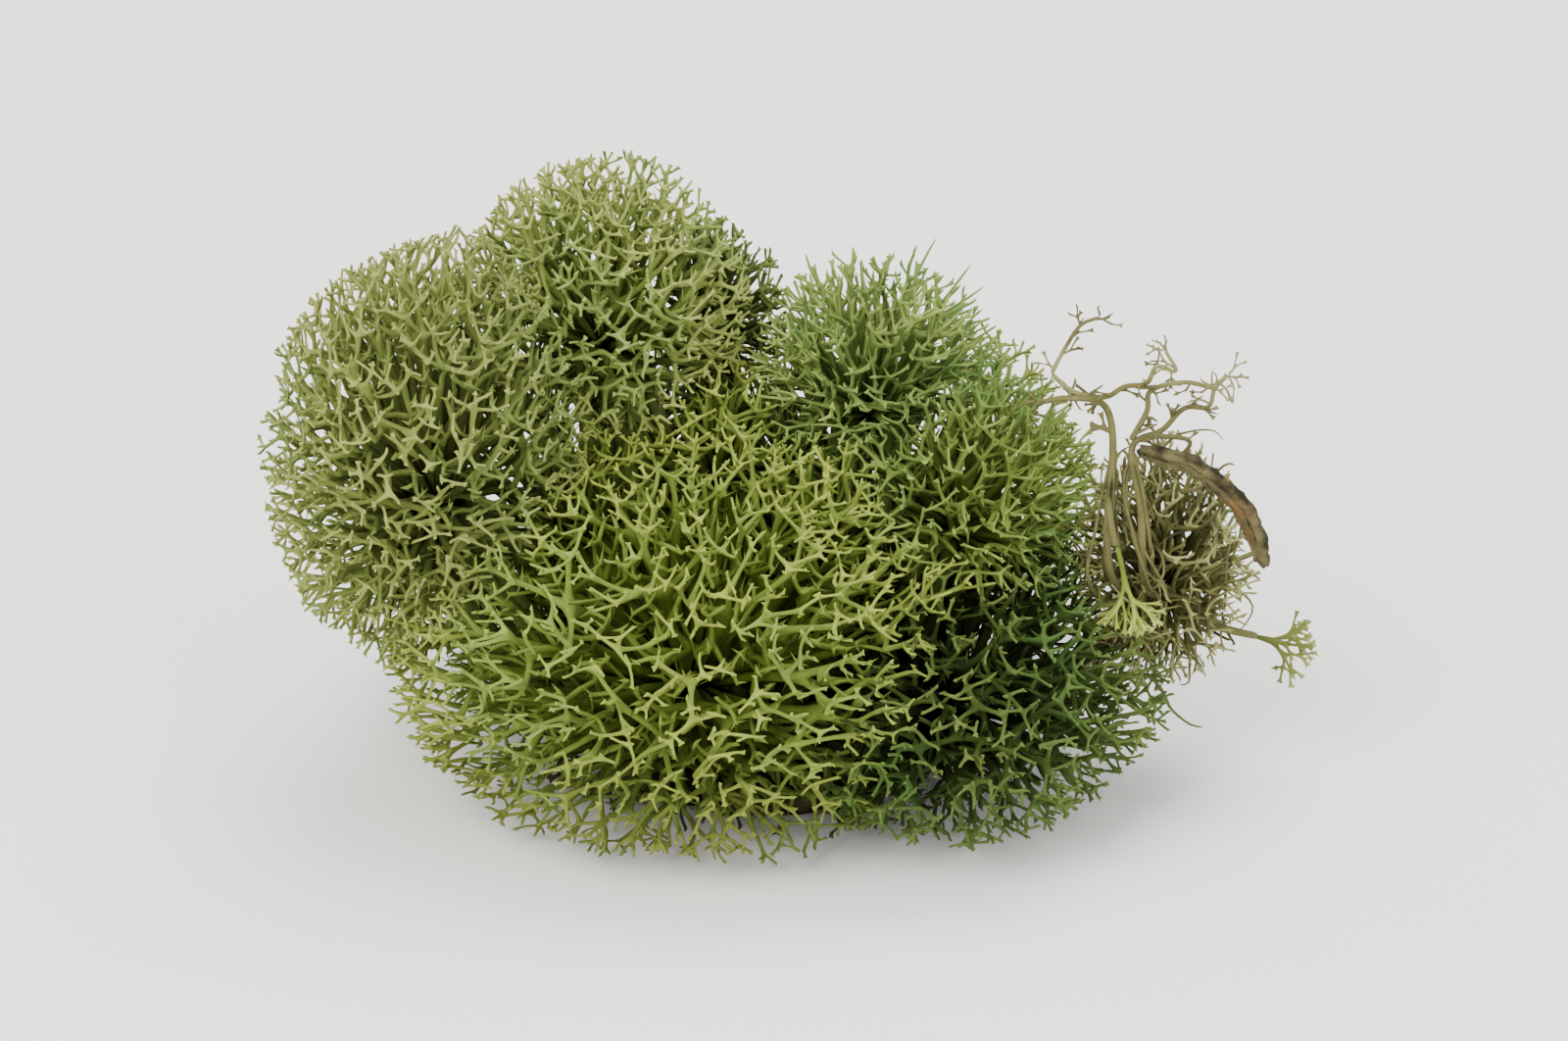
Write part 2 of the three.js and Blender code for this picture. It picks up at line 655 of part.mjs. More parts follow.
/** One head as a solid: its core, cut clear of earlier ones, its stalks and its crowns of branches. */
function headSolid(head, stalks, cuts, room) {
  const context = { room, body: head.name, random: seededRandom(head.seed + CROWN_SEED) };
  const others = [...HEADS, TANGLE].filter((other) => other !== head);
  const crowns = growCrowns(head, coreRadii(head), others, context);
  let heart = wasm.Manifold.union([headCore(head).solid, ...stalks]);
  for (const cut of cuts) heart = heart.subtract(cut);
  return largestBody(wasm.Manifold.union([largestBody(heart), ...crowns]));
}

/** A solid as a named mesh of the clump. */
function meshOf({ name, colour }, solid) {
  const material = new THREE.MeshStandardMaterial({ color: colour, roughness: 0.9, metalness: 0 });
  const mesh = new THREE.Mesh(geometryOf(solid), material);
  mesh.name = name;
  return mesh;
}

/** The whole clump. Stalks, which must reach the mat, take their room before the crowns do. */
function buildClump() {
  const clump = new THREE.Group();
  const room = new Room();
  const mat = matHull();
  room.cores.set(TANGLE.name, mat);
  HEADS.forEach((head) => room.cores.set(head.name, headCore(head)));
  const stripPath = STRIP.line.map((point, i) => [...point, STRIP.halfWidths[i]]);
  limbsAlong(stripPath).forEach((limb) => room.add(limb, STRIP.name));
  DRY_STALKS.flatMap(limbsAlong).forEach((limb) => room.add(limb, TANGLE.name));
  clump.add(meshOf(STRIP, stripSolid()));
  SPRIGS.forEach((sprig) => clump.add(meshOf(sprig, sprigSolid(sprig, room))));
  const stalks = HEADS.map((head) => growStalks(head, room, seededRandom(head.seed + STALK_SEED)));
  clump.add(meshOf(TANGLE, oldGrowthSolid(mat, room)));
  const cuts = [matHull(NEIGHBOUR_GAP).solid];
  HEADS.forEach((head, i) => {
    clump.add(meshOf(head, headSolid(head, stalks[i], cuts, room)));
    cuts.push(headCore(head, NEIGHBOUR_GAP).solid);
  });
  return clump;
}

export default buildClump();
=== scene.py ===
import itertools
import json
import logging
import math
import random
from dataclasses import dataclass
from enum import Enum
from typing import Sequence, Union

import bmesh
import bpy
import numpy as np
from mathutils import Matrix, Vector, kdtree, noise

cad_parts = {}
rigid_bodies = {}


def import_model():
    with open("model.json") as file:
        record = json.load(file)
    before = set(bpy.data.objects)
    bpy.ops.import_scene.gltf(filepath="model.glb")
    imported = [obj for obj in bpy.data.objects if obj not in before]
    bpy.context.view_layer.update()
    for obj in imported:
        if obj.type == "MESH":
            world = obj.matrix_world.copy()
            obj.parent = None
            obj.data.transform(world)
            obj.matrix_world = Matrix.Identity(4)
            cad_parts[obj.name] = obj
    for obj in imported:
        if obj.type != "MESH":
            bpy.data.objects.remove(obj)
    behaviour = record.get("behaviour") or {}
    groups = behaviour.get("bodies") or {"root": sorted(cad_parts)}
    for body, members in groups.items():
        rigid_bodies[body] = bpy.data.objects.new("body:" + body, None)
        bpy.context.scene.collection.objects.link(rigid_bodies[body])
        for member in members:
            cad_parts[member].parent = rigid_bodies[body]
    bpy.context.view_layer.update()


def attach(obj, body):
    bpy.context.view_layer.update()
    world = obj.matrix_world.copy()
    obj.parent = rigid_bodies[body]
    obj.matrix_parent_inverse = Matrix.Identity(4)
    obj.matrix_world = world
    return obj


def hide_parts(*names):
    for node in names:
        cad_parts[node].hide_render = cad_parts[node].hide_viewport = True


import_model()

MM = 0.001
BODY = "root"
RISE_ATTRIBUTE = "rise"

# Sizes are in millimetres, as in the part's source, and only the finishes' reliefs and the studio's sizes
# are in metres. The clump stands on z = 0, x runs to its right and y to its back.

# How uneven every outline is, as shares of its size, and over what lengths
LUMP_HEIGHT = 0.08
LUMP_LENGTH = 4.2
LUMP_PHASES = (1.3, 0.4, 2.1)
BILLOW_HEIGHT = 0.07
BILLOW_LENGTH = 3.6
AREA_POWER = 1.6

# Where tips end, and where the branches under them come from
LOWEST_TIP = 0.7
TIP_SHARE = 1.045
NEIGHBOUR_SHARE = 0.92
LOWEST_FOCUS = 3
FOCUS_DROP = 0.25
ROOT_SHARE = 0.12
ROOT_GIRTH = 1.2
GOLDEN_TURN = math.pi * (3 - math.sqrt(5))

# How neighbouring branches join, layer by layer, from the tips inwards
FIRST_SPAN = 1.9
SPAN_GROWTH = 1.62
INNER_THINNING = 0.72
GROUP_SIZES = (2, 3, 3, 3)
MOST_NEIGHBOURS = 10
MIDDLE_SHIFT = 0.1
RISE_RANGE = (0.8, 1.2)
LONGEST_STEP = 0.6

# The form of a branch: three-sided, with a raised crotch at its fork, and bent at its waist if it is long
SIDES = 3
THIRD_TURN = math.tau / SIDES
CROTCH_RISE = 0.55
AXIS_PULL = 0.6
BENT_FROM = 4.5
BEND_SHARE = 0.07
WAIST_SHARE = 0.95
NO_LENGTH = 1e-6
HARDLY_ASIDE = 1e-4

# A strand's steps, how it turns back to its outline, and how much thinner it ends
STRAND_STEP = 1.3
FEWEST_STEPS = 3
STRAND_REACH = 0.98
HOME_PULL = 0.6
STRAND_TAPER = 0.6
STRAND_SIDES = 4

# A fan's branches: how much thinner each level is, and how their lengths and angles vary
FAN_TAPER = 0.78
FAN_LENGTHS = (0.85, 1.15)
FAN_ANGLES = (0.7, 1.3)

# How deep within the clump the painted shade is darkest, and between what heights the painted shade low down
# fades out
PAINTED_SHADE_DEPTH = 8
PAINTED_SHADE_LOW_FROM = 4
PAINTED_SHADE_LOW_TO = 17

# The numbers of a Mix node's sockets for colours, because those for numbers have the same names
MIX_SHARE = 0
MIX_LOW = 6
MIX_HIGH = 7
MIX_RESULT = 2

Pair = tuple[float, float]
Triple = tuple[float, float, float]
Colour = tuple[float, float, float, float]
# A station of a line: x, y, z and the radius there
Station = tuple[float, float, float, float]


class Sum(Enum):
    """What a Math node works out."""

    ADD = "ADD"
    SUBTRACT = "SUBTRACT"
    MULTIPLY = "MULTIPLY"


class Finishing(Enum):
    """The modifiers that finish a mesh."""

    SMOOTHED = "SUBSURF"
    THICKENED = "SOLIDIFY"


def colour(hex_code: str) -> Colour:
    """Turns a colour as seen on a screen into the shader's own scale.

    Args:
        hex_code: Six digits, such as "7f8a45".

    Returns:
        Red, green, blue and an alpha of 1.
    """
    shares = [int(hex_code[i:i + 2], 16) / 255 for i in (0, 2, 4)]
    linear = [s / 12.92 if s <= 0.04045 else ((s + 0.055) / 1.055) ** 2.4 for s in shares]
    return (*linear, 1.0)


# Shader boards

class Value:
    """A socket of a material's nodes that adds, subtracts and multiplies like a number."""

    def __init__(self, board: "Board", socket: bpy.types.NodeSocket) -> None:
        """Keeps the socket with the board that it is on."""
        self.board = board
        self.socket = socket

    def _math(self, kind: Sum, first: "Term", second: "Term") -> "Value":
        """Adds one Math node for two terms and returns its output."""
        return self.board.node("ShaderNodeMath", {"operation": kind.value}, {0: first, 1: second})

    def __add__(self, other: "Term") -> "Value":
        """The sum with a number or another value."""
        return self._math(Sum.ADD, self, other)

    __radd__ = __add__

    def __mul__(self, other: "Term") -> "Value":
        """The product with a number or another value."""
        return self._math(Sum.MULTIPLY, self, other)

    __rmul__ = __mul__

    def __sub__(self, other: "Term") -> "Value":
        """This value less another."""
        return self._math(Sum.SUBTRACT, self, other)

    def __rsub__(self, other: "Term") -> "Value":
        """Another value less this one."""
        return self._math(Sum.SUBTRACT, other, self)


Term = Union[Value, float]


class Board:
    """A material and the nodes that make it."""

    def __init__(self, name: str) -> None:
        """Starts a material with an empty board but for its shader and output.

        Args:
            name: The material's name.
        """
        self.material = bpy.data.materials.new(name)
        self.material.use_nodes = True
        self.tree = self.material.node_tree
        self.shader = next(n for n in self.tree.nodes if n.type == "BSDF_PRINCIPLED")

    def node(self, kind: str, settings: dict, inputs: dict, output: Union[int, str] = 0) -> Value:
        """Adds any node.

        Args:
            kind: The node's type.
            settings: The node's own settings, which are set first.
            inputs: Values or links of its sockets, by name or number.
            output: The output socket that is wanted.

        Returns:
            That output.
        """
        node = self.tree.nodes.new(kind)
        for name, setting in settings.items():
            setattr(node, name, setting)
        for key, term in inputs.items():
            self.feed(node.inputs[key], term)
        return Value(self, node.outputs[output])

    def feed(self, socket: bpy.types.NodeSocket, term: object) -> None:
        """Sets a socket to a constant or links a value to it.

        Args:
            socket: The socket.
            term: A number, a colour, a vector or a value.
        """
        if isinstance(term, Value):
            self.tree.links.new(term.socket, socket)
        else:
            socket.default_value = term

    def mix(self, share: Term, low: object, high: object) -> Value:
        """A colour between two others."""
        settings = {"data_type": "RGBA", "clamp_factor": True}
        return self.node(
            "ShaderNodeMix", settings, {MIX_SHARE: share, MIX_LOW: low, MIX_HIGH: high}, MIX_RESULT)

    def scaled(self, tint: object, factor: Term) -> Value:
        """A colour made lighter or darker by a factor."""
        tint = tint if isinstance(tint, Value) else tint[:3]
        return self.node("ShaderNodeVectorMath", {"operation": "SCALE"}, {0: tint, "Scale": factor})

    def smooth(self, term: Term, low: float, high: float) -> Value:
        """A smooth step from 0 at one value to 1 at another."""
        settings = {"interpolation_type": "SMOOTHSTEP"}
        return self.node("ShaderNodeMapRange", settings, {0: term, 1: low, 2: high})

    def rise(self) -> Value:
        """What the mesh's attribute says at the shaded point."""
        return self.node("ShaderNodeAttribute", {"attribute_name": RISE_ATTRIBUTE}, {}, "Fac")

    def place(self) -> Value:
        """The shaded point's place on its object."""
        return self.node("ShaderNodeTexCoord", {}, {}, "Object")

    def place_along(self, axis: str) -> Value:
        """The shaded point's place along one axis."""
        return self.node("ShaderNodeSeparateXYZ", {}, {0: self.place()}, axis)

    def noise(self, waves: float, detail: float) -> Value:
        """Adds noise over the piece.

        Args:
            waves: How many waves it has to the metre.
            detail: How many finer levels it has.

        Returns:
            The noise, about 0.5 on average.
        """
        inputs = {"Vector": self.place(), "Scale": waves, "Detail": detail}
        return self.node("ShaderNodeTexNoise", {}, inputs)

    def bump(self, height: Value, strength: float, depth: float) -> Value:
        """A normal that shows a height."""
        inputs = {"Height": height, "Strength": strength, "Distance": depth}
        return self.node("ShaderNodeBump", {}, inputs)

    def dress(self, **sockets: object) -> bpy.types.Material:
        """Feeds the shader's sockets.

        Args:
            sockets: The terms, by the sockets' names with _ for a space.

        Returns:
            The material.
        """
        for name, term in sockets.items():
            self.feed(self.shader.inputs[name.replace("_", " ")], term)
        return self.material


@dataclass(frozen=True)
class LichenFinish:
    """The dyed, matt skin of a head: darkened within by a painted shade, pale at its tips, with patches of
    another green.

    Its lowest parts are darkened by a painted shade, and one field says how bright they are against the rest.
    A noise has its waves to the metre and its finer levels. A step says from where to where one colour gives
    way to the next: by how far out the branch is, but for the patches' own step, which goes by their noise.
    A shade is how bright the skin is at the least, and how much each noise or the way out adds.
    """

    name: str
    deep_painted_shade: str
    middle: str
    bright: str
    patch: str
    patchiness: float = 0.5
    painted_shade_low_brightness: float = 1.0
    patch_noise: Pair = (75, 2)
    tuft_noise: Pair = (210, 1)
    mottle_noise: Pair = (700, 3)
    grain_noise: Pair = (3600, 2)
    middle_step: Pair = (0.1, 0.7)
    bright_step: Pair = (0.72, 1.0)
    patch_step: Pair = (0.46, 0.64)
    patch_shown_step: Pair = (0.4, 0.9)
    patch_shade: Pair = (0.5, 0.6)
    skin_shade: Triple = (0.36, 0.5, 0.7)
    roughness: float = 0.82
    roughness_spread: float = 0.2
    specular: float = 0.12
    relief: float = 0.00006
    relief_strength: float = 0.5

    def material(self) -> bpy.types.Material:
        """Makes the material.

        It reads how far out each point of a branch is, and how high: deep within and low down it is darkened
        by a painted shade.

        Returns:
            The material.
        """
        board = Board(self.name)
        rise = board.rise()
        patches = board.smooth(board.noise(*self.patch_noise), *self.patch_step) * self.patchiness
        tufts = board.noise(*self.tuft_noise)
        mottle = board.noise(*self.mottle_noise)
        grain = board.noise(*self.grain_noise)
        # Painted shade: the colour darkens towards its deep colour within the clump, and the patches darken
        # there too.
        inner = board.mix(board.smooth(rise, *self.middle_step), colour(self.deep_painted_shade), colour(self.middle))
        outer = board.mix(board.smooth(rise, *self.bright_step), inner, colour(self.bright))
        least, by_rise = self.patch_shade
        patched = board.scaled(colour(self.patch), least + rise * by_rise)
        dyed_with_painted_shade = board.mix(patches * board.smooth(rise, *self.patch_shown_step), outer, patched)
        # Painted shade low down: the lowest parts are darker.
        low = 1 - board.smooth(board.place_along("Z"), PAINTED_SHADE_LOW_FROM * MM, PAINTED_SHADE_LOW_TO * MM)
        painted_low_shade = 1 - low * (1 - self.painted_shade_low_brightness)
        least, by_mottle, by_tufts = self.skin_shade
        return board.dress(
            Base_Color=board.scaled(dyed_with_painted_shade, painted_low_shade * (least + mottle * by_mottle + tufts * by_tufts)),
            Roughness=self.roughness + (grain - 0.5) * self.roughness_spread,
            Specular_IOR_Level=self.specular,
            Normal=board.bump(grain, self.relief_strength, self.relief),
        )


@dataclass(frozen=True)
class FibreFinish:
    """The dull, dry skin of old growth or bark, streaked and mottled, with a stain if it has that colour.

    Noises, steps and shades are as in the lichen's finish. The stain lies between two places along x, and
    begins and ends over the width of its fade.
    """

    name: str
    dark: str
    middle: str
    pale: str
    stain: str = ""
    stain_from: float = 36.6
    stain_to: float = 39.6
    stain_fade: float = 1
    streak_noise: Pair = (520, 5)
    mottle_noise: Pair = (140, 3)
    grain_noise: Pair = (2600, 4)
    middle_step: Pair = (0.5, 0.95)
    middle_by_rise: float = 0.4
    pale_step: Pair = (0.52, 0.7)
    paleness: float = 0.75
    stain_step: Pair = (0.42, 0.6)
    skin_shade: Pair = (0.75, 0.5)
    roughness: float = 0.88
    roughness_spread: float = 0.2
    specular: float = 0.25
    relief: float = 0.0001
    relief_strength: float = 0.7

    def material(self) -> bpy.types.Material:
        """Makes the material, darker where the attribute is low.

        Returns:
            The material.
        """
        board = Board(self.name)
        streaks = board.noise(*self.streak_noise)
        mottle = board.noise(*self.mottle_noise)
        grain = board.noise(*self.grain_noise)
        # Where the attribute is low the skin is darker: for the stalks that is deep within the tangle, a
        # painted shade; for the bark it is low in its relief.
        shown = board.smooth(streaks + board.rise() * self.middle_by_rise, *self.middle_step)
        base = board.mix(shown, colour(self.dark), colour(self.middle))
        tone = board.mix(board.smooth(mottle, *self.pale_step) * self.paleness, base, colour(self.pale))
        if self.stain:
            along = board.place_along("X")
            begun, ended = [
                board.smooth(along, place * MM, (place + self.stain_fade) * MM)
                for place in (self.stain_from, self.stain_to)
            ]
            stained = (begun - ended) * board.smooth(streaks, *self.stain_step)
            tone = board.mix(stained, tone, colour(self.stain))
        least, by_grain = self.skin_shade
        return board.dress(
            Base_Color=board.scaled(tone, least + grain * by_grain),
            Roughness=self.roughness + (grain - 0.5) * self.roughness_spread,
            Specular_IOR_Level=self.specular,
            Normal=board.bump(grain + streaks, self.relief_strength, self.relief),
        )


@dataclass(frozen=True)
class PlainFinish:
    """The floor's plain matt surface."""

    name: str
    tint: str
    roughness: float = 0.9

    def material(self) -> bpy.types.Material:
        """Makes the material."""
        return Board(self.name).dress(Base_Color=colour(self.tint), Roughness=self.roughness)


# Rounded outlines

@dataclass(frozen=True)
class Outline:
    """A rounded, slightly lumpy outline that the tips of a head reach."""

    centre: Triple
    radii: Triple

    def lump(self, point: Vector) -> float:
        """Tells how uneven the outline is.

        Args:
            point: Where.

        Returns:
            By what share it stands out there, or less than 0 where it falls back.
        """
        broad = 1.0
        for along, phase in zip(point, LUMP_PHASES):
            broad *= math.sin(along / LUMP_LENGTH + phase)
        return LUMP_HEIGHT * broad + BILLOW_HEIGHT * noise.noise(point / BILLOW_LENGTH)

    def reach(self, point: Vector) -> float:
        """How far out a point is: 1 on the outline, 0 in its middle."""
        shares = [(p - c) / r for p, c, r in zip(point, self.centre, self.radii)]
        return math.sqrt(sum(share * share for share in shares)) - self.lump(point)

    def even_point(self, direction: Vector, share: float) -> Vector:
        """A point on or within the outline as it would be without its lumps."""
        return Vector(c + d * r * share for c, d, r in zip(self.centre, direction, self.radii))

    def point(self, direction: Vector, share: float) -> Vector:
        """A point on or within the outline: the way to it from the middle, and how far out it is."""
        return self.even_point(direction, share + self.lump(self.even_point(direction, 1)))

    def area(self) -> float:
        """Works out the outline's area, nearly.

        Returns:
            The area in square millimetres.
        """
        rx, ry, rz = self.radii
        powers = [(first * second) ** AREA_POWER for first, second in ((rx, ry), (rx, rz), (ry, rz))]
        return 4 * math.pi * (sum(powers) / 3) ** (1 / AREA_POWER)


# The nearness drives the painted shade: branches deep within the clump are darker.
def nearness(places: list[Vector], outlines: list[Outline]) -> np.ndarray:
    """Tells how near places are to the clump's surface.

    Args:
        places: The places.
        outlines: The outlines that make the clump's surface together.

    Returns:
        For each place 1 on the surface, falling to 0 deep within.
    """
    spots = np.array([tuple(place) for place in places])
    deepest = np.zeros(len(spots))
    for outline in outlines:
        share = np.linalg.norm((spots - outline.centre) / outline.radii, axis=1)
        deepest = np.maximum(deepest, (1 - share) * min(outline.radii))
    return np.clip(1 - deepest / PAINTED_SHADE_DEPTH, 0, 1)


# Directions

def shift(rng: random.Random, reach: float) -> Vector:
    """A shift by chance, up to a reach along each axis."""
    return Vector([rng.uniform(-reach, reach) for _ in range(3)])


def any_way(rng: random.Random) -> Vector:
    """A way in any direction, of any length."""
    return Vector([rng.gauss(0, 1) for _ in range(3)])


def squared(way: Vector, axis: Vector) -> Vector:
    """What is left of a way when it is made square to an axis."""
    return way - axis * way.dot(axis)


def even_directions(count: int, rng: random.Random, jitter: float) -> list[Vector]:
    """Spreads directions evenly over a sphere.

    Args:
        count: How many.
        rng: Where chance comes from.
        jitter: How far each is moved by chance, as a share of the distance between them.

    Returns:
        The directions, each of length 1.
    """
    start = rng.uniform(0, math.tau)
    step = math.sqrt(4 * math.pi / max(count, 1)) * jitter
    found = []
    for i in range(count):
        z = 1 - 2 * (i + 0.5) / count
        ring = math.sqrt(1 - z * z)
        turn = start + i * GOLDEN_TURN
        even = Vector((ring * math.cos(turn), ring * math.sin(turn), z))
        found.append((even + shift(rng, step)).normalized())
    return found


def facing(axis: Vector, way: Vector, before: Vector) -> Vector:
    """Turns a fork so that one of its openings faces its first child, with as little twist as may be.

    Args:
        axis: The fork's axis.
        way: The way from the fork to its first child.
        before: The way to the first corner of the ring before it.

    Returns:
        The way to the fork's own first corner.
    """
    lead = squared(way, axis)
    if lead.length < HARDLY_ASIDE:
        lead = axis.orthogonal()
    wanted = Matrix.Rotation(-THIRD_TURN / 2, 3, axis) @ lead.normalized()
    turned = [Matrix.Rotation(k * THIRD_TURN, 3, axis) @ wanted for k in range(SIDES)]
    return max(turned, key=lambda side: side.dot(before))


def smooth_line(stations: list[Station], steps: int) -> tuple[list[Vector], list[float]]:
    """Runs a smooth line through stations.

    Args:
        stations: The stations.
        steps: How many steps there are between two of them.

    Returns:
        The line's places and the radius at each.
    """
    places = [Vector(station[:3]) for station in stations]
    radii_there = [station[3] for station in stations]
    padded = [places[0] * 2 - places[1], *places, places[-1] * 2 - places[-2]]
    path = []
    radii = []
    last = len(stations) - 2
    for i in range(last + 1):
        a, b, c, d = padded[i:i + 4]
        for k in range(steps + (i == last)):
            t = k / steps
            curve = (b * 2 + (c - a) * t + (a * 2 - b * 5 + c * 4 - d) * t ** 2
                     + (b * 3 - a - c * 3 + d) * t ** 3)
            path.append(curve / 2)
            radii.append(radii_there[i] + (radii_there[i + 1] - radii_there[i]) * t)
    return path, radii


# Growth

@dataclass(slots=True)
class Fork:
    """A point where a branch forks, or ends in a tip if it has no children, and how thick it is there."""

    place: Vector
    children: list["Fork"]
    size: float


@dataclass(frozen=True)
class Habit:
    """How branches fork.

    Each layer has its share of the outline and its tips' spacing. Rises say how far each fork lies under the
    ones before it, sizes how thick it is. The outer tips stand along the walls between cells, so that a net
    with open meshes shows.
    """

    layers: tuple[Pair, ...] = ((1, 0.76), (0.8, 1.3), (0.6, 1.8))
    rises: tuple[float, ...] = (0.4, 0.65, 1.2, 2.2, 3.0)
    sizes: tuple[float, ...] = (0.26, 0.32, 0.42, 0.58, 0.87)
    cell: float = 3.2
    wall: float = 0.17
    ragged: float = 0.03
    jitter: float = 0.45


class Thicket:
    """A mesh of branches that is built up from corners and faces."""

    def __init__(self, rng: random.Random) -> None:
        """Starts an empty mesh.

        Args:
            rng: Where chance comes from.
        """
        self.rng = rng
        self.corners: list[Vector] = []
        self.faces: list[tuple[int, ...]] = []

    def corner(self, place: Vector) -> int:
        """Adds a corner and returns its number."""
        self.corners.append(place)
        return len(self.corners) - 1

    def ring(self, centre: Vector, axis: Vector, towards: Vector, radius: float,
             sides: int = SIDES) -> list[int]:
        """Adds a ring of corners.

        Args:
            centre: Its middle.
            axis: What it stands square to.
            towards: Which way the first corner lies from the middle.
            radius: How wide it is.
            sides: How many corners it has.

        Returns:
            The corners' numbers.
        """
        u = squared(towards, axis)
        u = u.normalized() if u.length > NO_LENGTH else axis.orthogonal().normalized()
        w = axis.cross(u)
        turns = [k * (math.tau / sides) for k in range(sides)]
        return [self.corner(centre + (u * math.cos(a) + w * math.sin(a)) * radius) for a in turns]

    def wall(self, low: list[int], high: list[int]) -> None:
        """Joins two rings with a wall of faces.

        Args:
            low: The ring nearer to the root.
            high: The ring further out.
        """
        for k, corner in enumerate(low):
            n = (k + 1) % len(low)
            self.faces.append((corner, low[n], high[n], high[k]))

    def grow(self, base: list[int], start: Vector, fork: Fork) -> None:
        """Skins the branch from a ring of corners to a fork, and all that grows from it.

        Args:
            base: The three corners that it starts from.
            start: Their middle.
            fork: Where the branch ends.
        """
        if not fork.children:
            tip = self.corner(fork.place)
            self.faces.extend((base[k], base[(k + 1) % SIDES], tip) for k in range(SIDES))
            return
        way = fork.place - start
        heading = way.normalized()
        ways = [child.place - fork.place for child in fork.children]
        headings = [child_way.normalized() for child_way in ways]
        axis = (heading + sum(headings, Vector()).normalized() * AXIS_PULL).normalized()
        before = self.corners[base[0]] - start
        towards = facing(axis, ways[0], before)
        if way.length > BENT_FROM * fork.size:
            bend = shift(self.rng, 1) * way.length * BEND_SHARE
            halfway = before.lerp(towards * before.length, 0.5)
            waist = self.ring(start + way * 0.5 + bend, heading, halfway, fork.size * WAIST_SHARE)
            self.wall(base, waist)
            base = waist
        end = self.ring(fork.place, axis, towards, fork.size)
        self.wall(base, end)
        self.part(end, axis, fork, headings)

    def part(self, end: list[int], axis: Vector, fork: Fork, headings: list[Vector]) -> None:
        """Parts a branch at its fork into three openings round a crotch, one for each child at most.

        Args:
            end: The ring at the branch's end.
            axis: The fork's axis.
            fork: The fork.
            headings: Which way each of its children sets out.
        """
        crotch_place = fork.place + axis * fork.size * CROTCH_RISE
        crotch = self.corner(crotch_place)
        openings = [[end[k], end[(k + 1) % SIDES], crotch] for k in range(SIDES)]
        middles = [sum((self.corners[c] for c in opening), Vector()) / SIDES for opening in openings]
        orders = itertools.permutations(range(SIDES), len(headings))
        best = max(orders, key=lambda order: sum(
            (middles[k] - crotch_place).dot(heading) for k, heading in zip(order, headings)))
        for k, child in zip(best, fork.children):
            self.grow(openings[k], middles[k], child)
        for k in set(range(SIDES)) - set(best):
            self.faces.append(tuple(openings[k]))

    def tuft(self, fork: Fork, root: Vector, thickness: float) -> None:
        """Skins a whole tuft from its closed root.

        Args:
            fork: The tuft's first fork.
            root: Where it grows from.
            thickness: How thick it is there.
        """
        heading = (fork.place - root).normalized()
        base = self.ring(root, heading, heading.orthogonal(), thickness)
        self.faces.append(tuple(reversed(base)))
        self.grow(base, root, fork)

    def tube(self, path: list[Vector], radii: Sequence[float], sides: int) -> None:
        """Skins a bent stalk, closed at both ends.

        Args:
            path: The places that it runs through.
            radii: How thick it is at each.
            sides: How many sides it has.
        """
        towards = (path[1] - path[0]).orthogonal()
        rings = []
        for i, (place, radius) in enumerate(zip(path, radii)):
            along = (path[min(i + 1, len(path) - 1)] - path[max(i - 1, 0)]).normalized()
            towards = squared(towards, along).normalized()
            rings.append(self.ring(place, along, towards, radius, sides))
        for low, high in zip(rings, rings[1:]):
            self.wall(low, high)
        self.faces.append(tuple(reversed(rings[0])))
        self.faces.append(tuple(rings[-1]))

    def strand(self, start: Vector, heading: Vector, length: float, radius: float, wander: float,
               home: Outline) -> None:
        """Skins a thin, wandering strand.

        Args:
            start: Where it starts.
            heading: Which way it sets out.
            length: How long it is.
            radius: How thick it is at its start.
            wander: How much it changes its way, step by step.
            home: The outline that it turns back to.
        """
        steps = max(round(length / STRAND_STEP), FEWEST_STEPS)
        path = [start]
        for _ in range(steps):
            turn = shift(self.rng, wander)
            if home.reach(path[-1]) > STRAND_REACH:
                turn += (Vector(home.centre) - path[-1]).normalized() * HOME_PULL
            heading = (heading + turn).normalized()
            path.append(path[-1] + heading * length / steps)
        path = [Vector((place.x, place.y, max(place.z, LOWEST_TIP))) for place in path]
        radii = [radius * (1 - STRAND_TAPER * i / steps) for i in range(steps + 1)]
        self.tube(path, radii, STRAND_SIDES)

    def piece(self, name: str, outlines: list[Outline], levels: int = 1) -> bpy.types.Object:
        """Turns what has grown into one object, smoothed by subdivision.

        Args:
            name: The object's name.
            outlines: The outlines that say how deep each corner is.
            levels: How often it is subdivided, 0 for not at all.

        Returns:
            The object, at the origin.
        """
        mesh = bpy.data.meshes.new(name)
        mesh.from_pydata([corner * MM for corner in self.corners], [], self.faces)
        attribute = mesh.attributes.new(RISE_ATTRIBUTE, "FLOAT", "POINT")
        attribute.data.foreach_set("value", nearness(self.corners, outlines))
        mesh.update()
        made = bpy.data.objects.new(name, mesh)
        bpy.context.scene.collection.objects.link(made)
        if levels:
            apply_modifier(made, Finishing.SMOOTHED, levels=levels, render_levels=levels)
        made.data.shade_smooth()
        return made


def apply_modifier(made: bpy.types.Object, kind: Finishing, **settings: object) -> None:
    """Adds a modifier to an object and applies it.

    Args:
        made: The object.
        kind: The modifier's kind.
        settings: Its settings.
    """
    bpy.ops.object.select_all(action="DESELECT")
    made.select_set(True)
    bpy.context.view_layer.objects.active = made
    modifier = made.modifiers.new(kind.name.lower(), kind.value)
    for name, setting in settings.items():
        setattr(modifier, name, setting)
    bpy.ops.object.modifier_apply(modifier=modifier.name)


def outward(made: bpy.types.Object) -> None:
    """Turns all faces of a closed object outwards.

    Args:
        made: The object.
    """
    shape = bmesh.new()
    shape.from_mesh(made.data)
    bmesh.ops.recalc_face_normals(shape, faces=shape.faces)
    shape.to_mesh(made.data)
    shape.free()


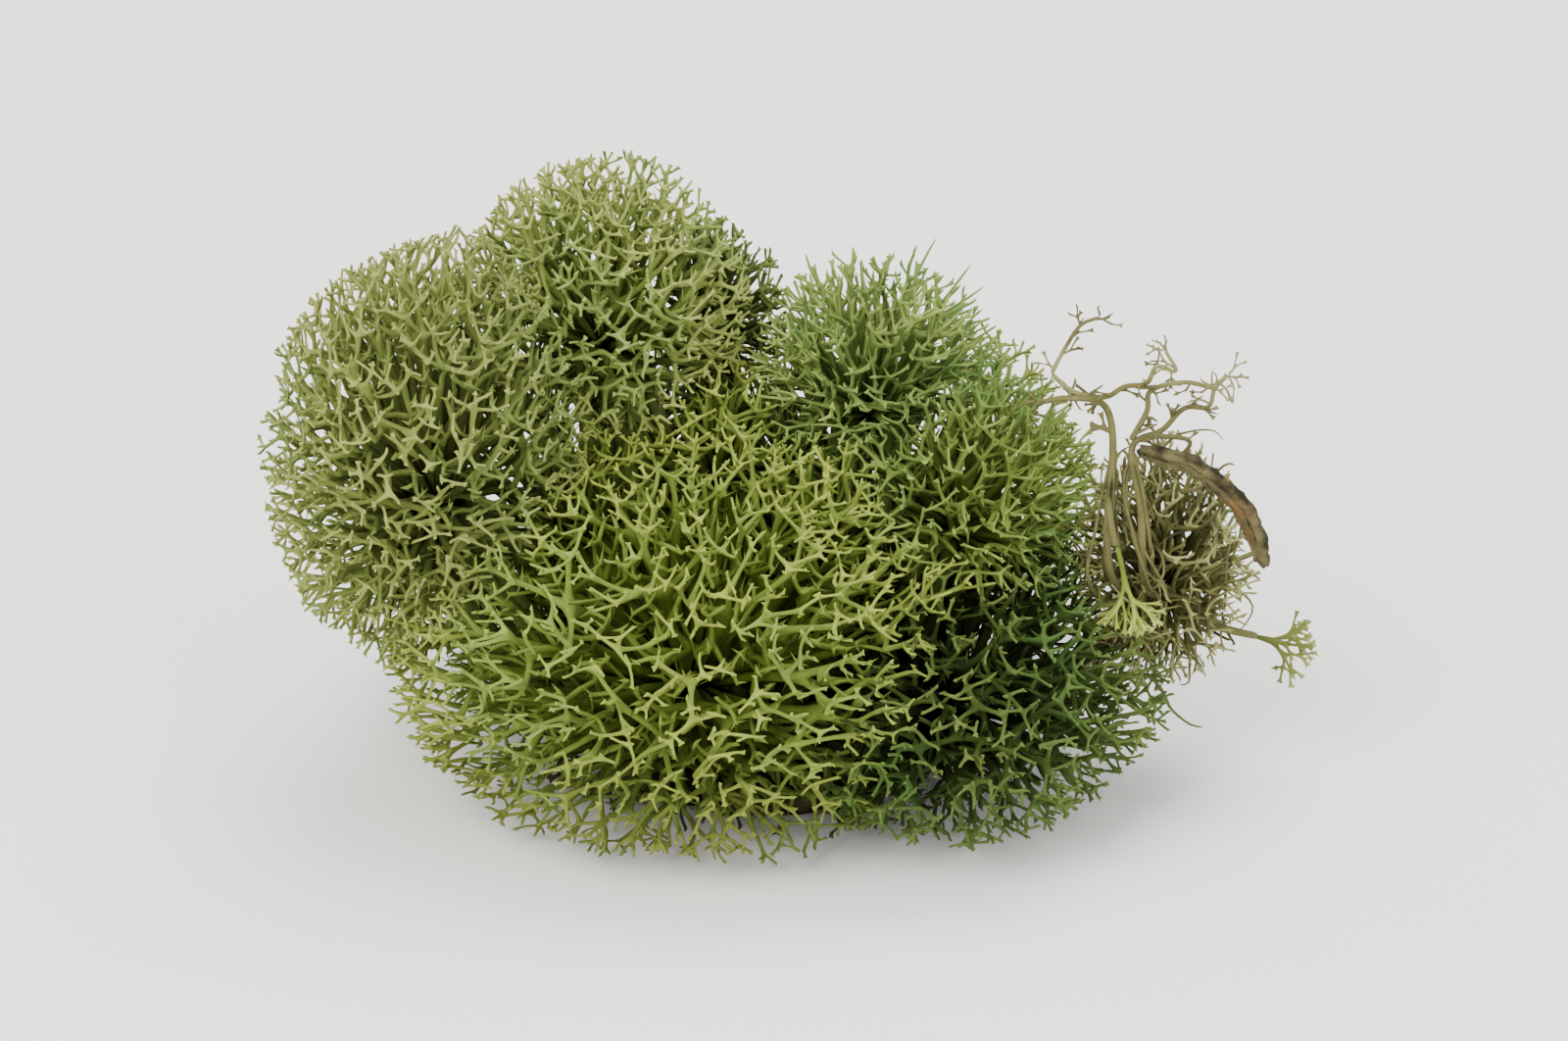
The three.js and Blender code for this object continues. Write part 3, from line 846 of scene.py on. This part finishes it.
def gather(forks: list[Fork], span: float, rise: float, size: float, focus: Vector,
           rng: random.Random) -> list[Fork]:
    """Joins neighbouring forks in twos and threes, each group under one new fork nearer to the focus.

    Args:
        forks: The forks or tips to join.
        span: The furthest that joined ones may be apart.
        rise: How far the new fork lies under its group.
        size: The new fork's thickness.
        focus: The point that branches come from.
        rng: Where chance comes from.

    Returns:
        The new forks.
    """
    tree = kdtree.KDTree(len(forks))
    for i, fork in enumerate(forks):
        tree.insert(fork.place, i)
    tree.balance()
    order = list(range(len(forks)))
    rng.shuffle(order)
    free = [True] * len(forks)
    joined = []
    for i in order:
        if not free[i]:
            continue
        free[i] = False
        group = [forks[i]]
        wanted = rng.choice(GROUP_SIZES)
        for _, j, distance in tree.find_n(forks[i].place, MOST_NEIGHBOURS):
            if len(group) == wanted or distance > span:
                break
            if free[j]:
                free[j] = False
                group.append(forks[j])
        middle = sum((fork.place for fork in group), Vector()) / len(group)
        middle += Vector([rng.uniform(-MIDDLE_SHIFT, MIDDLE_SHIFT) * span for _ in range(3)])
        inward = focus - middle
        step = min(rise * rng.uniform(*RISE_RANGE), inward.length * LONGEST_STEP)
        joined.append(Fork(middle + inward.normalized() * step, group, size))
    return joined


def fan(start: Vector, heading: Vector, lengths: Sequence[float], spread: float, radius: float,
        rng: random.Random, counts: Sequence[int] = (SIDES,)) -> Fork:
    """Plans a fan: a branch and all that grows from it.

    Args:
        start: Where the branch starts.
        heading: Which way it goes.
        lengths: How long it is, then how long each later level's branches are.
        spread: The angle at which branches part, in radians.
        radius: How thick it is.
        rng: Where chance comes from.
        counts: The numbers of branches that a fork may have, to choose from.

    Returns:
        The fork at the branch's end.
    """
    place = start + heading * lengths[0] * rng.uniform(*FAN_LENGTHS)
    if len(lengths) == 1:
        return Fork(place, [], 0)
    side = heading.orthogonal().normalized()
    turn = rng.uniform(0, math.tau)
    children = []
    for k in range(rng.choice(counts)):
        around = Matrix.Rotation(turn + k * THIRD_TURN, 3, heading) @ side
        out = (heading + around * math.tan(spread) * rng.uniform(*FAN_ANGLES)).normalized()
        children.append(fan(place, out, lengths[1:], spread, radius * FAN_TAPER, rng, counts))
    return Fork(place, children, radius * FAN_TAPER)


# The pieces

@dataclass
class Cushion:
    """One rounded outline filled with tufts: the whole of a small head, or a part of a large one."""

    outline: Outline
    habit: Habit
    core_share: float = 0.36

    def tips(self, share: float, spacing: float, others: list[Outline], rng: random.Random) -> list[Fork]:
        """Finds the tips of the outline, or of a layer within it.

        Args:
            share: How far out the layer is.
            spacing: How far apart its tips are.
            others: The outlines whose insides are left free.
            rng: Where chance comes from.

        Returns:
            The tips.
        """
        habit = self.habit
        count = round(self.outline.area() * share ** 2 / spacing ** 2)
        found = []
        for direction in even_directions(count, rng, habit.jitter):
            out = TIP_SHARE + rng.uniform(-habit.ragged, habit.ragged)
            place = self.outline.point(direction, share * out)
            if place.z < LOWEST_TIP:
                continue
            near = noise.voronoi(place / habit.cell)[0]
            if share == 1 and near[1] - near[0] > habit.wall:
                continue
            if all(other.reach(place) > NEIGHBOUR_SHARE * share for other in others):
                found.append(Fork(place, [], 0))
        return found

    def focus(self) -> Vector:
        """Finds the point that the branches come from, a little under the middle.

        Returns:
            The point.
        """
        centre = Vector(self.outline.centre)
        centre.z = max(centre.z - self.outline.radii[2] * FOCUS_DROP, LOWEST_FOCUS)
        return centre

    def fill(self, outer: Thicket, inner: Thicket, others: list[Outline], rng: random.Random) -> None:
        """Grows the tufts, layer by layer.

        Args:
            outer: What the outermost layer's tufts are added to.
            inner: What the layers within are added to.
            others: The outlines whose insides are left free.
            rng: Where chance comes from.
        """
        habit = self.habit
        focus = self.focus()
        smallest = min(self.outline.radii)
        room = smallest * (1 - self.core_share)
        for share, spacing in habit.layers:
            thicket, first, thinning = (outer, 0, 1) if share == 1 else (inner, 1, INNER_THINNING)
            forks = self.tips(share, spacing, others, rng)
            span = spacing * FIRST_SPAN
            used = smallest * (1 - share)
            for rise, size in zip(habit.rises[first:], habit.sizes[first:]):
                if used + rise > room or not forks:
                    break
                used += rise
                forks = gather(forks, span, rise, size * thinning, focus, rng)
                span *= SPAN_GROWTH
            for fork in forks:
                if fork.children:
                    thicket.tuft(fork, focus.lerp(fork.place, ROOT_SHARE), fork.size * ROOT_GIRTH)


@dataclass
class Head:
    """A head of forked branches: its own rounded cushion and lower ones that fill the dips beside it.

    Its stalks rise from a ring round its root on the mat to a ring in the middle of each cushion. The upper
    ring's size is a share of the cushion's smallest radius. Each of the long tips has a start and an end.
    """

    node: str
    slot: str
    cushions: list[Cushion]
    finish: LichenFinish
    seed: int
    root: Pair
    long_tips: tuple[tuple[Triple, Triple], ...] = ()
    tip_radii: Triple = (0.36, 0.3, 0.14)
    tip_bend: float = 0.25
    stalk_count: int = 7
    stalk_sides: int = 6
    stalk_steps: int = 6
    stalk_turn: float = 0.3
    stalk_bow: Pair = (0.5, 1.8)
    stalk_lift: float = 1
    root_height: float = 3.0
    root_ring: float = 2.6
    top_ring: float = 0.2
    root_radius: float = 1.05
    stalk_taper: float = 0.45

    def build(self, outlines: list[Outline]) -> list[bpy.types.Object]:
        """Grows the head.

        Args:
            outlines: All outlines of the clump.

        Returns:
            Its outer branches, and those within it with its stalks.
        """
        rng = random.Random(self.seed)
        outer = Thicket(rng)
        inner = Thicket(rng)
        for cushion in self.cushions:
            others = [outline for outline in outlines if outline is not cushion.outline]
            cushion.fill(outer, inner, others, rng)
        self.stalks(inner, rng)
        for start, end in self.long_tips:
            middle = (Vector(start) + Vector(end)) / 2 + shift(rng, self.tip_bend)
            outer.tube([Vector(start), middle, Vector(end)], self.tip_radii, SIDES)
        return [
            outer.piece(self.node + "_branches", outlines),
            inner.piece(self.node + "_inside", outlines, levels=0),
        ]

    def stalks(self, thicket: Thicket, rng: random.Random) -> None:
        """Grows the stalks that carry the head, from the mat up into the middle of each cushion.

        Args:
            thicket: What they are added to.
            rng: Where chance comes from.
        """
        root = Vector((*self.root, self.root_height))
        steps = [k / self.stalk_steps for k in range(self.stalk_steps + 1)]
        radii = [self.root_radius - self.stalk_taper * t for t in steps]
        for cushion in self.cushions:
            top_ring = min(cushion.outline.radii) * self.top_ring
            for i in range(self.stalk_count):
                turn = i / self.stalk_count * math.tau + rng.uniform(-self.stalk_turn, self.stalk_turn)
                side = Vector((math.cos(turn), math.sin(turn), 0))
                low = root + side * self.root_ring
                high = cushion.focus() + side * top_ring
                bow = side * rng.uniform(*self.stalk_bow)
                bow += Vector((0, 0, rng.uniform(-self.stalk_lift, self.stalk_lift)))
                path = [low.lerp(high, t) + bow * math.sin(t * math.pi) for t in steps]
                thicket.tube(path, radii, self.stalk_sides)


@dataclass
class OldGrowth:
    """The undyed base of the clump: its mat and its dry tangle with wiry stalks.

    The first stalk is the thick one that carries the tangle. Companions run beside two of the others, with so
    much room round each station of the stalk, and twigs grow from six. A pair is the least and the most of
    what chance draws.
    """

    node: str
    slot: str
    tangle: Cushion
    rim: Cushion
    tuft_finish: LichenFinish
    stalk_finish: FibreFinish
    mat_finish: FibreFinish
    seed: int
    stalk_lines: list[list[Station]]
    line_steps: int = 5
    stalk_sides: int = 6
    thinning: float = 0.6
    accompanied: tuple[int, ...] = (1, 2)
    companion_count: int = 4
    companion_sides: int = 5
    companion_rooms: tuple[float, ...] = (2, 2, 1.5, 0.2)
    companion_depth: float = 0.6
    companion_girth: Pair = (0.2, 0.4)
    twigged: tuple[int, ...] = (1, 2, 3, 4, 5, 6)
    twig_height: float = 31.0
    twig_every: int = 3
    end_twigs: int = 2
    twig_lean: float = 0.7
    twig_girth: float = 1.2
    twig_radius: float = 0.27
    twig_levels: int = 3
    twig_lengths: Pair = (0.6, 1.2)
    twig_spread: float = 0.65
    twig_counts: tuple[int, ...] = (1, 2, 3)
    strand_count: int = 80
    strand_starts: Pair = (0.6, 0.98)
    strand_lean: float = 0.8
    strand_rise: float = 0.9
    strand_radii: Pair = (0.18, 0.36)
    strand_lengths: Pair = (4, 9)
    strand_wander: float = 0.55
    mat_centre: Triple = (-1, 0, 1.5)
    mat_radii: Triple = (14.5, 13, 4.8)
    mat_roughness: float = 0.1
    mat_waves: float = 5
    mat_fractal: tuple[float, float, int] = (1.0, 2.0, 4)
    mat_cuts: int = 5

    def build(self, outlines: list[Outline]) -> list[bpy.types.Object]:
        """Grows the tangle with its strands and stalks, and the mat with its rim.

        Args:
            outlines: All outlines of the clump.

        Returns:
            The tangle's tufts, those within it, its stalks and strands, the mat's rim and the mat.
        """
        rng = random.Random(self.seed)
        tufts = Thicket(rng)
        inner = Thicket(rng)
        self.tangle.fill(tufts, inner, [], rng)
        stalks = Thicket(rng)
        for line in self.stalk_lines:
            path, radii = smooth_line(line, self.line_steps)
            stalks.tube(path, [radius * self.thinning for radius in radii], self.stalk_sides)
        for number in self.accompanied:
            self.companions(stalks, self.stalk_lines[number], rng)
        for number in self.twigged:
            self.twigs(stalks, self.stalk_lines[number], rng)
        self.strands(stalks, rng)
        rim = Thicket(rng)
        self.rim.fill(rim, rim, [], rng)
        around = [self.tangle.outline]
        return [
            tufts.piece(self.node + "_tufts", around),
            inner.piece(self.node + "_inside", around, levels=0),
            stalks.piece(self.node + "_stalks", around),
            rim.piece(self.node + "_rim", [self.rim.outline]),
            self.mat(),
        ]

    def companions(self, thicket: Thicket, line: list[Station], rng: random.Random) -> None:
        """Runs thinner stalks beside the lower part of a stalk, which they join at their upper ends.

        Args:
            thicket: What they are added to.
            line: The stalk's line.
            rng: Where chance comes from.
        """
        for _ in range(self.companion_count):
            beside = []
            for (x, y, z, radius), room in zip(line, self.companion_rooms):
                aside = [rng.uniform(-room, room) for _ in range(3)]
                girth = radius * rng.uniform(*self.companion_girth)
                beside.append((x + aside[0], y + aside[1] * self.companion_depth, z + aside[2], girth))
            path, radii = smooth_line(beside, self.line_steps)
            thicket.tube(path, radii, self.companion_sides)

    def twigs(self, thicket: Thicket, line: list[Station], rng: random.Random) -> None:
        """Grows small forked twigs from the upper part of a stalk, and some at its end.

        Args:
            thicket: What they are added to.
            line: The stalk's line.
            rng: Where chance comes from.
        """
        path, radii = smooth_line(line, self.line_steps)
        last = len(path) - 1
        upper = [i for i in range(1, last + 1, self.twig_every) if path[i].z > self.twig_height]
        for i in upper + [last] * self.end_twigs:
            along = (path[min(i + 1, last)] - path[i - 1]).normalized()
            heading = (along * self.twig_lean + any_way(rng).normalized()).normalized()
            radius = max(radii[i] * self.thinning * self.twig_girth, self.twig_radius)
            lengths = [rng.uniform(*self.twig_lengths) for _ in range(self.twig_levels)]
            twig = fan(path[i], heading, lengths, self.twig_spread, radius, rng, self.twig_counts)
            thicket.tuft(twig, path[i], radius)

    def strands(self, thicket: Thicket, rng: random.Random) -> None:
        """Winds thin strands through the tangle, most of them upright.

        Args:
            thicket: What they are added to.
            rng: Where chance comes from.
        """
        outline = self.tangle.outline
        for _ in range(self.strand_count):
            direction = any_way(rng).normalized()
            start = outline.point(direction, rng.uniform(*self.strand_starts))
            across = direction.cross(any_way(rng)).normalized()
            rise = Vector((0, 0, rng.choice((-self.strand_rise, self.strand_rise))))
            heading = (across * self.strand_lean + rise).normalized()
            radius = rng.uniform(*self.strand_radii)
            length = rng.uniform(*self.strand_lengths)
            thicket.strand(start, heading, length, radius, self.strand_wander, outline)

    def mat(self) -> bpy.types.Object:
        """Models the mat: a low, rough mound with a flat spot under it.

        Returns:
            Its object.
        """
        bpy.ops.object.select_all(action="DESELECT")
        bpy.ops.mesh.primitive_ico_sphere_add(subdivisions=self.mat_cuts, radius=1, location=(0, 0, 0))
        made = bpy.context.active_object
        made.name = self.node + "_mat"
        for vertex in made.data.vertices:
            side = vertex.co.copy()
            rough = 1 + self.mat_roughness * noise.fractal(side * self.mat_waves, *self.mat_fractal)
            place = Vector(c + s * r * rough for c, s, r in zip(self.mat_centre, side, self.mat_radii))
            place.z = max(place.z, 0)
            vertex.co = place * MM
        made.data.shade_smooth()
        return made


@dataclass
class Sprig:
    """A small fan of branches on its own stalk."""

    node: str
    slot: str
    root: Triple
    heading: Triple
    lengths: tuple[float, ...]
    spread: float
    radius: float
    finish: LichenFinish
    seed: int
    reach: float

    def build(self) -> bpy.types.Object:
        """Grows the sprig.

        Returns:
            Its object.
        """
        rng = random.Random(self.seed)
        thicket = Thicket(rng)
        root = Vector(self.root)
        heading = Vector(self.heading).normalized()
        thicket.tuft(fan(root, heading, self.lengths, self.spread, self.radius, rng), root, self.radius)
        around = Outline(self.root, (self.reach, self.reach, self.reach))
        return thicket.piece(self.node + "_branches", [around])


@dataclass(frozen=True)
class Wear:
    """Uneven wear of a strip, and how fast it changes across the strip and along it."""

    across: float
    along: float
    layer: float

    def at(self, side: float, row: int) -> float:
        """How worn the strip is there, from -1 to 1."""
        return noise.noise(Vector((side * self.across, row * self.along, self.layer)))


@dataclass
class BarkStrip:
    """A curved, ribbed strip of dry bark.

    Its ribs wave as the tears do, and its width changes with the tears and notches. A rib's height is given
    as a share of the relief.
    """

    node: str
    slot: str
    line: list[Station]
    across: Triple
    finish: FibreFinish
    thickness: float = 0.7
    steps: int = 14
    rows: int = 18
    relief: float = 0.24
    ribs: float = 11.0
    rib_share: float = 0.6
    rib_wave: float = 2
    cupping: float = 0.35
    tears: Wear = Wear(2.4, 0.13, 3.1)
    roughness: Wear = Wear(6, 0.11, 7.7)
    notches: Wear = Wear(3, 0.31, 5.2)
    tear_width: float = 0.35
    notch_width: float = 0.6
    tear_length: float = 0.1
    end_tear_length: float = 1.6
    mean_tone: float = 0.5
    relief_tone: float = 0.4

    def build(self) -> bpy.types.Object:
        """Models the strip: a grid laid along its line, ribbed, and given its thickness.

        Returns:
            Its object.
        """
        path, widths = smooth_line(self.line, self.steps)
        last = len(path) - 1
        bpy.ops.object.select_all(action="DESELECT")
        bpy.ops.mesh.primitive_grid_add(x_subdivisions=last, y_subdivisions=self.rows, size=2)
        made = bpy.context.active_object
        made.name = self.node + "_ribbed"
        tones = []
        for vertex in made.data.vertices:
            i = round((vertex.co.x + 1) / 2 * last)
            side = vertex.co.y
            along = (path[min(i + 1, last)] - path[max(i - 1, 0)]).normalized()
            across = squared(Vector(self.across), along).normalized()
            torn = self.tears.at(side, i)
            notched = self.notches.at(math.copysign(1, side), i)
            rib = math.sin(side * self.ribs + torn * self.rib_wave) * self.rib_share
            height = rib + self.roughness.at(side, i)
            tones.append(self.mean_tone + height * self.relief_tone)
            width = widths[i] * side * (1 + torn * self.tear_width + notched * self.notch_width)
            up = height * self.relief - self.cupping * side * side
            tear = torn * (self.end_tear_length if i in (0, last) else self.tear_length)
            vertex.co = (path[i] + across * width + along.cross(across) * up + along * tear) * MM
        attribute = made.data.attributes.new(RISE_ATTRIBUTE, "FLOAT", "POINT")
        attribute.data.foreach_set("value", tones)
        apply_modifier(made, Finishing.THICKENED, thickness=self.thickness * MM, offset=0)
        outward(made)
        made.data.shade_smooth()
        return made


# Values

FINE = Habit(((1, 0.71), (0.84, 1.15), (0.64, 1.6)), cell=1.9, wall=0.19)
NET = Habit(((1, 0.73), (0.8, 1.25), (0.6, 1.8)), cell=2.8)
NEEDLES = Habit(rises=(0.9, 1.0, 1.5, 2.4), cell=2.4, wall=0.19, ragged=0.1)
HIDDEN = Habit(((1, 0.9), (0.82, 1.5), (0.6, 2.1)), rises=(0.45, 0.8, 1.4, 2.4, 3.0), cell=2.6)
OLD = Habit(
    ((1, 0.85), (0.82, 1.2), (0.62, 1.5)), rises=(0.6, 0.8, 1.3, 2.0), sizes=(0.22, 0.28, 0.38, 0.55),
    cell=2.2, wall=0.19, ragged=0.1, jitter=0.7,
)
RIM = Habit(((1, 1.8),), rises=(0.8, 1.1, 1.5), sizes=(0.3, 0.4, 0.5), cell=2.2, wall=0.3, ragged=0.08)

HEADS = [
    Head(
        "head_top", "lichen_top", [Cushion(Outline((-15.6, 8, 38.5), (12.6, 13.5, 13.2)), FINE)],
        LichenFinish("top_green", "5c692a", "818f48", "8f984f", "6c8344"), 11, (-9, 3),
    ),
    Head(
        "head_crest", "lichen_crest", [Cushion(Outline((-7, 15.5, 35.4), (6.9, 7.5, 8.2)), FINE)],
        LichenFinish("crest_green", "384518", "53602b", "6f7b3e", "4a6633"), 12, (-2, 7.5),
    ),
    Head(
        "head_upper_right", "lichen_upper_right",
        [
            Cushion(Outline((7.3, 5, 33), (10.8, 11.5, 11.2)), NEEDLES),
            Cushion(Outline((0.5, 6.5, 26.5), (8, 9, 8.5)), NEEDLES),
        ],
        LichenFinish("upper_right_green", "4f6127", "6f8240", "84924a", "4e7e40", 0.5), 13, (5, 3.5),
        long_tips=(
            ((13.2, 7.6, 38.4), (17.6, 8.8, 41)), ((13.6, 7.6, 38.2), (17.2, 8.6, 39.2)),
            ((13, 7.6, 38.8), (16.4, 9.2, 43)), ((11, 8, 41), (13.4, 9.6, 45.4)),
            ((12.6, 2, 39), (15.4, 1.4, 42)), ((3, 3.6, 43), (1.8, 3.2, 46.6)),
        ),
    ),
    Head(
        "head_shoulder", "lichen_shoulder",
        [Cushion(Outline((14.8, -2, 25.4), (11.8, 12.8, 11.6)), NEEDLES)],
        LichenFinish("shoulder_green", "4a5a1f", "6c7c36", "7e8c43", "4d7a40", 0.5), 18, (10.5, 6),
    ),
    Head(
        "head_left", "lichen_left", [Cushion(Outline((-30.2, -3, 30), (14, 16.5, 18.5)), FINE)],
        LichenFinish("left_green", "626d34", "75823f", "878f4c", "697b40"), 14, (-13.5, -2.5),
    ),
    Head(
        "head_front", "lichen_front",
        [
            Cushion(Outline((-8, -9.5, 15.5), (25.5, 21.5, 17.5)), NET),
            Cushion(Outline((-18, -1, 24), (9, 10, 10.5)), NET),
            Cushion(Outline((-6, 1.5, 27.5), (9.5, 9.5, 9)), NET),
            Cushion(Outline((3.5, -5, 23), (9.5, 10, 10)), NET),
        ],
        # Its lowest parts are darker by a painted shade.
        LichenFinish("front_green", "51621f", "768738", "8a9641", "5f7f3c", painted_shade_low_brightness=0.6), 15, (-5, -7.5),
    ),
    Head(
        "head_right_low", "lichen_right_low",
        [
            Cushion(Outline((14, -9, 12), (18, 20.5, 12)), NET),
            Cushion(Outline((14, -1, 18), (11, 10, 9)), NET),
        ],
        # These dark greens are a painted shade: this head lies low in a recess of the clump.
        LichenFinish("right_low_painted_shade_green", "1a2408", "364518", "576630", "2f5224"), 16, (8.5, -7.5),
    ),
    Head(
        "head_back_left", "lichen_back", [Cushion(Outline((-18, 15, 18), (17, 15.5, 17)), HIDDEN)],
        # Its lowest parts are darker by a painted shade.
        LichenFinish("back_left_green", "525f26", "75833b", "8c964c", "607a40", painted_shade_low_brightness=0.8),
        17, (-10, 10.5),
    ),
    Head(
        "head_back_right", "lichen_back", [Cushion(Outline((9, 16, 17.5), (19, 15, 16.5)), HIDDEN)],
        # Its lowest parts are darker by a painted shade.
        LichenFinish("back_right_green", "4b5922", "6c7b37", "85914a", "56763e", painted_shade_low_brightness=0.8),
        19, (5.5, 11.5),
    ),
]

SPRIGS = [
    Sprig(
        "sprig_front", "sprig_bright", (28.4, -11.2, 25.5), (0.22, -0.3, -0.93), (4.2, 1.6, 1.4, 1.3, 1.3),
        0.54, 0.62, LichenFinish("sprig_bright_green", "5e6c26", "8d9c44", "b0ba6a", "7c9442"), 31, 9,
    ),
    Sprig(
        "sprig_right", "sprig_dull", (40.4, -4, 13.4), (0.95, -0.1, -0.22), (2.0, 1.5, 1.3, 1.2, 1.0),
        0.7, 0.6, LichenFinish("sprig_dull_green", "424a1e", "697034", "8f9655", "5d7038"), 33, 6.5,
    ),
]

STRIP = BarkStrip(
    "bark_strip", "dry_bark",
    [
        (30.8, -7.8, 32.5, 0.6), (34.6, -8.6, 31.6, 1.3), (37.6, -8.8, 29.4, 1.45),
        (39.8, -8.8, 26.4, 1.3), (41, -8.4, 22.8, 0.6),
    ],
    (0.25, -0.75, 0.6),
    FibreFinish("bark_brown", "231f10", "6a6340", "938b60", "6b5230", relief=0.00025),
)

OLD_GROWTH = OldGrowth(
    "old_growth", "old_growth",
    Cushion(Outline((32.8, -2, 19.5), (8, 8.8, 10.8)), OLD, 0.2),
    Cushion(Outline((-1, 0, 2.4), (20, 18.5, 5)), RIM, 0.2),
    LichenFinish("tuft_olive", "34351a", "66663a", "90905c", "5d6639", 0.7),
    FibreFinish("stalk_brown", "2f2d14", "636038", "8f8d5e"),
    FibreFinish("mat_brown", "17140a", "3e3820", "5c5638"),
    21,
    [
        [(12, -0.5, 2.6, 2.2), (20.5, 2.5, 4.6, 1.9), (28.5, 3, 9.5, 1.9), (32.5, -1, 16, 2.1)],
        [
            (31.5, -3, 15, 0.9), (28.2, -8.4, 21, 0.75), (27.8, -8.4, 27, 0.7), (28.2, -7, 33, 0.65),
            (27.4, -5.4, 36, 0.6), (24.4, -5, 36.4, 0.55), (21.4, -5, 35.9, 0.45),
        ],
        [
            (33, -3, 16, 0.85), (31, -9, 20.9, 0.75), (30.6, -9, 28, 0.7), (29.8, -7, 32.7, 0.6),
            (32.4, -6, 33.8, 0.5), (34.3, -5.5, 35.7, 0.45), (36.4, -5.1, 35.6, 0.4),
            (36.9, -5, 37.3, 0.4), (38, -5, 38.5, 0.3),
        ],
        [
            (29.7, -6.8, 33.2, 0.55), (31.1, -6, 35.6, 0.5), (31.4, -5.4, 37.3, 0.45),
            (34.3, -5, 37.9, 0.4), (36.9, -5, 37.3, 0.4),
        ],
        [
            (22.9, -5, 38.7, 0.4), (24.8, -5, 37, 0.45), (27.5, -5, 36.5, 0.5), (29.2, -5, 37.5, 0.45),
            (31.1, -5, 37.8, 0.45), (31.9, -5, 39.4, 0.4), (33.6, -5, 38.9, 0.36), (32.6, -5, 40.9, 0.3),
        ],
        [(22.9, -5, 38.7, 0.4), (23.9, -5, 40.8, 0.36), (25.3, -5, 43.2, 0.34), (27, -5, 44, 0.3)],
        [(31, -6.5, 33.6, 0.5), (34.8, -6, 32.9, 0.4), (33.8, -6, 31, 0.35)],
        [(27.8, -8.4, 28.6, 0.65), (27.9, -10.2, 27.6, 0.6), (28.4, -11.2, 25.2, 0.6)],
        [(33.5, -2.5, 15.5, 0.9), (37.2, -3.7, 14.2, 0.75), (41.2, -4.1, 13.3, 0.65)],
    ],
)


# The studio

@dataclass(frozen=True)
class Lamp:
    """A soft square light: where it hangs, how wide it is, its watts and its colour."""

    name: str
    place: Triple
    size: float
    power: float
    tint: Triple = (1, 1, 1)


@dataclass
class Studio:
    """The plain pale floor, the soft lights and the camera, in metres and degrees."""

    floor_size: float = 6.0
    floor_finish: PlainFinish = PlainFinish("floor_pale", "f7f6f3")
    sky_power: float = 1.05
    target: Triple = (0.0, 0.0, 0.0225)
    elevation: float = 25.0
    distance: float = 0.9
    frame_width: float = 0.136
    sensor_width: float = 36
    nearest: float = 0.05
    lamps: tuple[Lamp, ...] = (
        Lamp("key", (-0.45, -0.6, 0.75), 0.6, 13, (1, 0.98, 0.94)),
        Lamp("fill", (0.65, -0.6, 0.4), 0.7, 5, (0.97, 0.98, 1)),
        Lamp("top", (0.1, 0.3, 0.85), 0.6, 7),
    )

    def floor(self) -> None:
        """Lays the floor."""
        bpy.ops.object.select_all(action="DESELECT")
        bpy.ops.mesh.primitive_plane_add(size=self.floor_size, location=(0, 0, 0))
        floor = bpy.context.active_object
        floor.name = "floor"
        floor.data.materials.append(self.floor_finish.material())

    def light(self, lamp: Lamp) -> None:
        """Adds a light that shines at the clump.

        Args:
            lamp: The light.
        """
        data = bpy.data.lights.new(lamp.name, "AREA")
        data.size = lamp.size
        data.energy = lamp.power
        data.color = lamp.tint
        hung = bpy.data.objects.new(lamp.name, data)
        bpy.context.scene.collection.objects.link(hung)
        hung.location = lamp.place
        way = Vector(self.target) - Vector(lamp.place)
        hung.rotation_euler = way.to_track_quat("-Z", "Y").to_euler()

    def sky(self) -> None:
        """Gives the surroundings a plain pale light."""
        world = bpy.data.worlds.new("studio")
        world.use_nodes = True
        background = world.node_tree.nodes["Background"]
        background.inputs["Color"].default_value = (1, 1, 1, 1)
        background.inputs["Strength"].default_value = self.sky_power
        bpy.context.scene.world = world

    def camera(self) -> None:
        """Places the camera where the photograph was taken from."""
        data = bpy.data.cameras.new("camera")
        data.sensor_width = self.sensor_width
        data.lens = self.sensor_width * self.distance / self.frame_width
        data.clip_start = self.nearest
        camera = bpy.data.objects.new("camera", data)
        bpy.context.scene.collection.objects.link(camera)
        tilt = math.radians(self.elevation)
        back = Vector((0, -math.cos(tilt), math.sin(tilt)))
        camera.location = Vector(self.target) + back * self.distance
        camera.rotation_euler = (-back).to_track_quat("-Z", "Y").to_euler()
        bpy.context.scene.camera = camera

    def build(self) -> None:
        """Sets up the whole studio."""
        self.floor()
        self.sky()
        for lamp in self.lamps:
            self.light(lamp)
        self.camera()


def settle(piece: bpy.types.Object, node: str, material: bpy.types.Material) -> None:
    """Dresses a finished piece and lets it stand for its solid.

    Args:
        piece: The piece.
        node: The solid that it replaces.
        material: Its material.
    """
    piece.data.materials.clear()
    piece.data.materials.append(material)
    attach(piece, BODY)
    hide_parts(node)
    logging.info("%s: %d faces", piece.name, len(piece.data.polygons))


def main() -> None:
    """Builds the clump and its studio, one piece after another."""
    logging.basicConfig(level=logging.INFO, format="%(message)s")
    Studio().build()
    outlines = [cushion.outline for head in HEADS for cushion in head.cushions]
    outlines.append(OLD_GROWTH.tangle.outline)
    for head in HEADS:
        material = head.finish.material()
        for piece in head.build(outlines):
            settle(piece, head.node, material)
    for sprig in SPRIGS:
        settle(sprig.build(), sprig.node, sprig.finish.material())
    settle(STRIP.build(), STRIP.node, STRIP.finish.material())
    tufted = OLD_GROWTH.tuft_finish.material()
    wiry = OLD_GROWTH.stalk_finish.material()
    matted = OLD_GROWTH.mat_finish.material()
    for piece, material in zip(OLD_GROWTH.build(outlines), (tufted, tufted, wiry, matted, matted)):
        settle(piece, OLD_GROWTH.node, material)


if __name__ == "__main__":
    main()
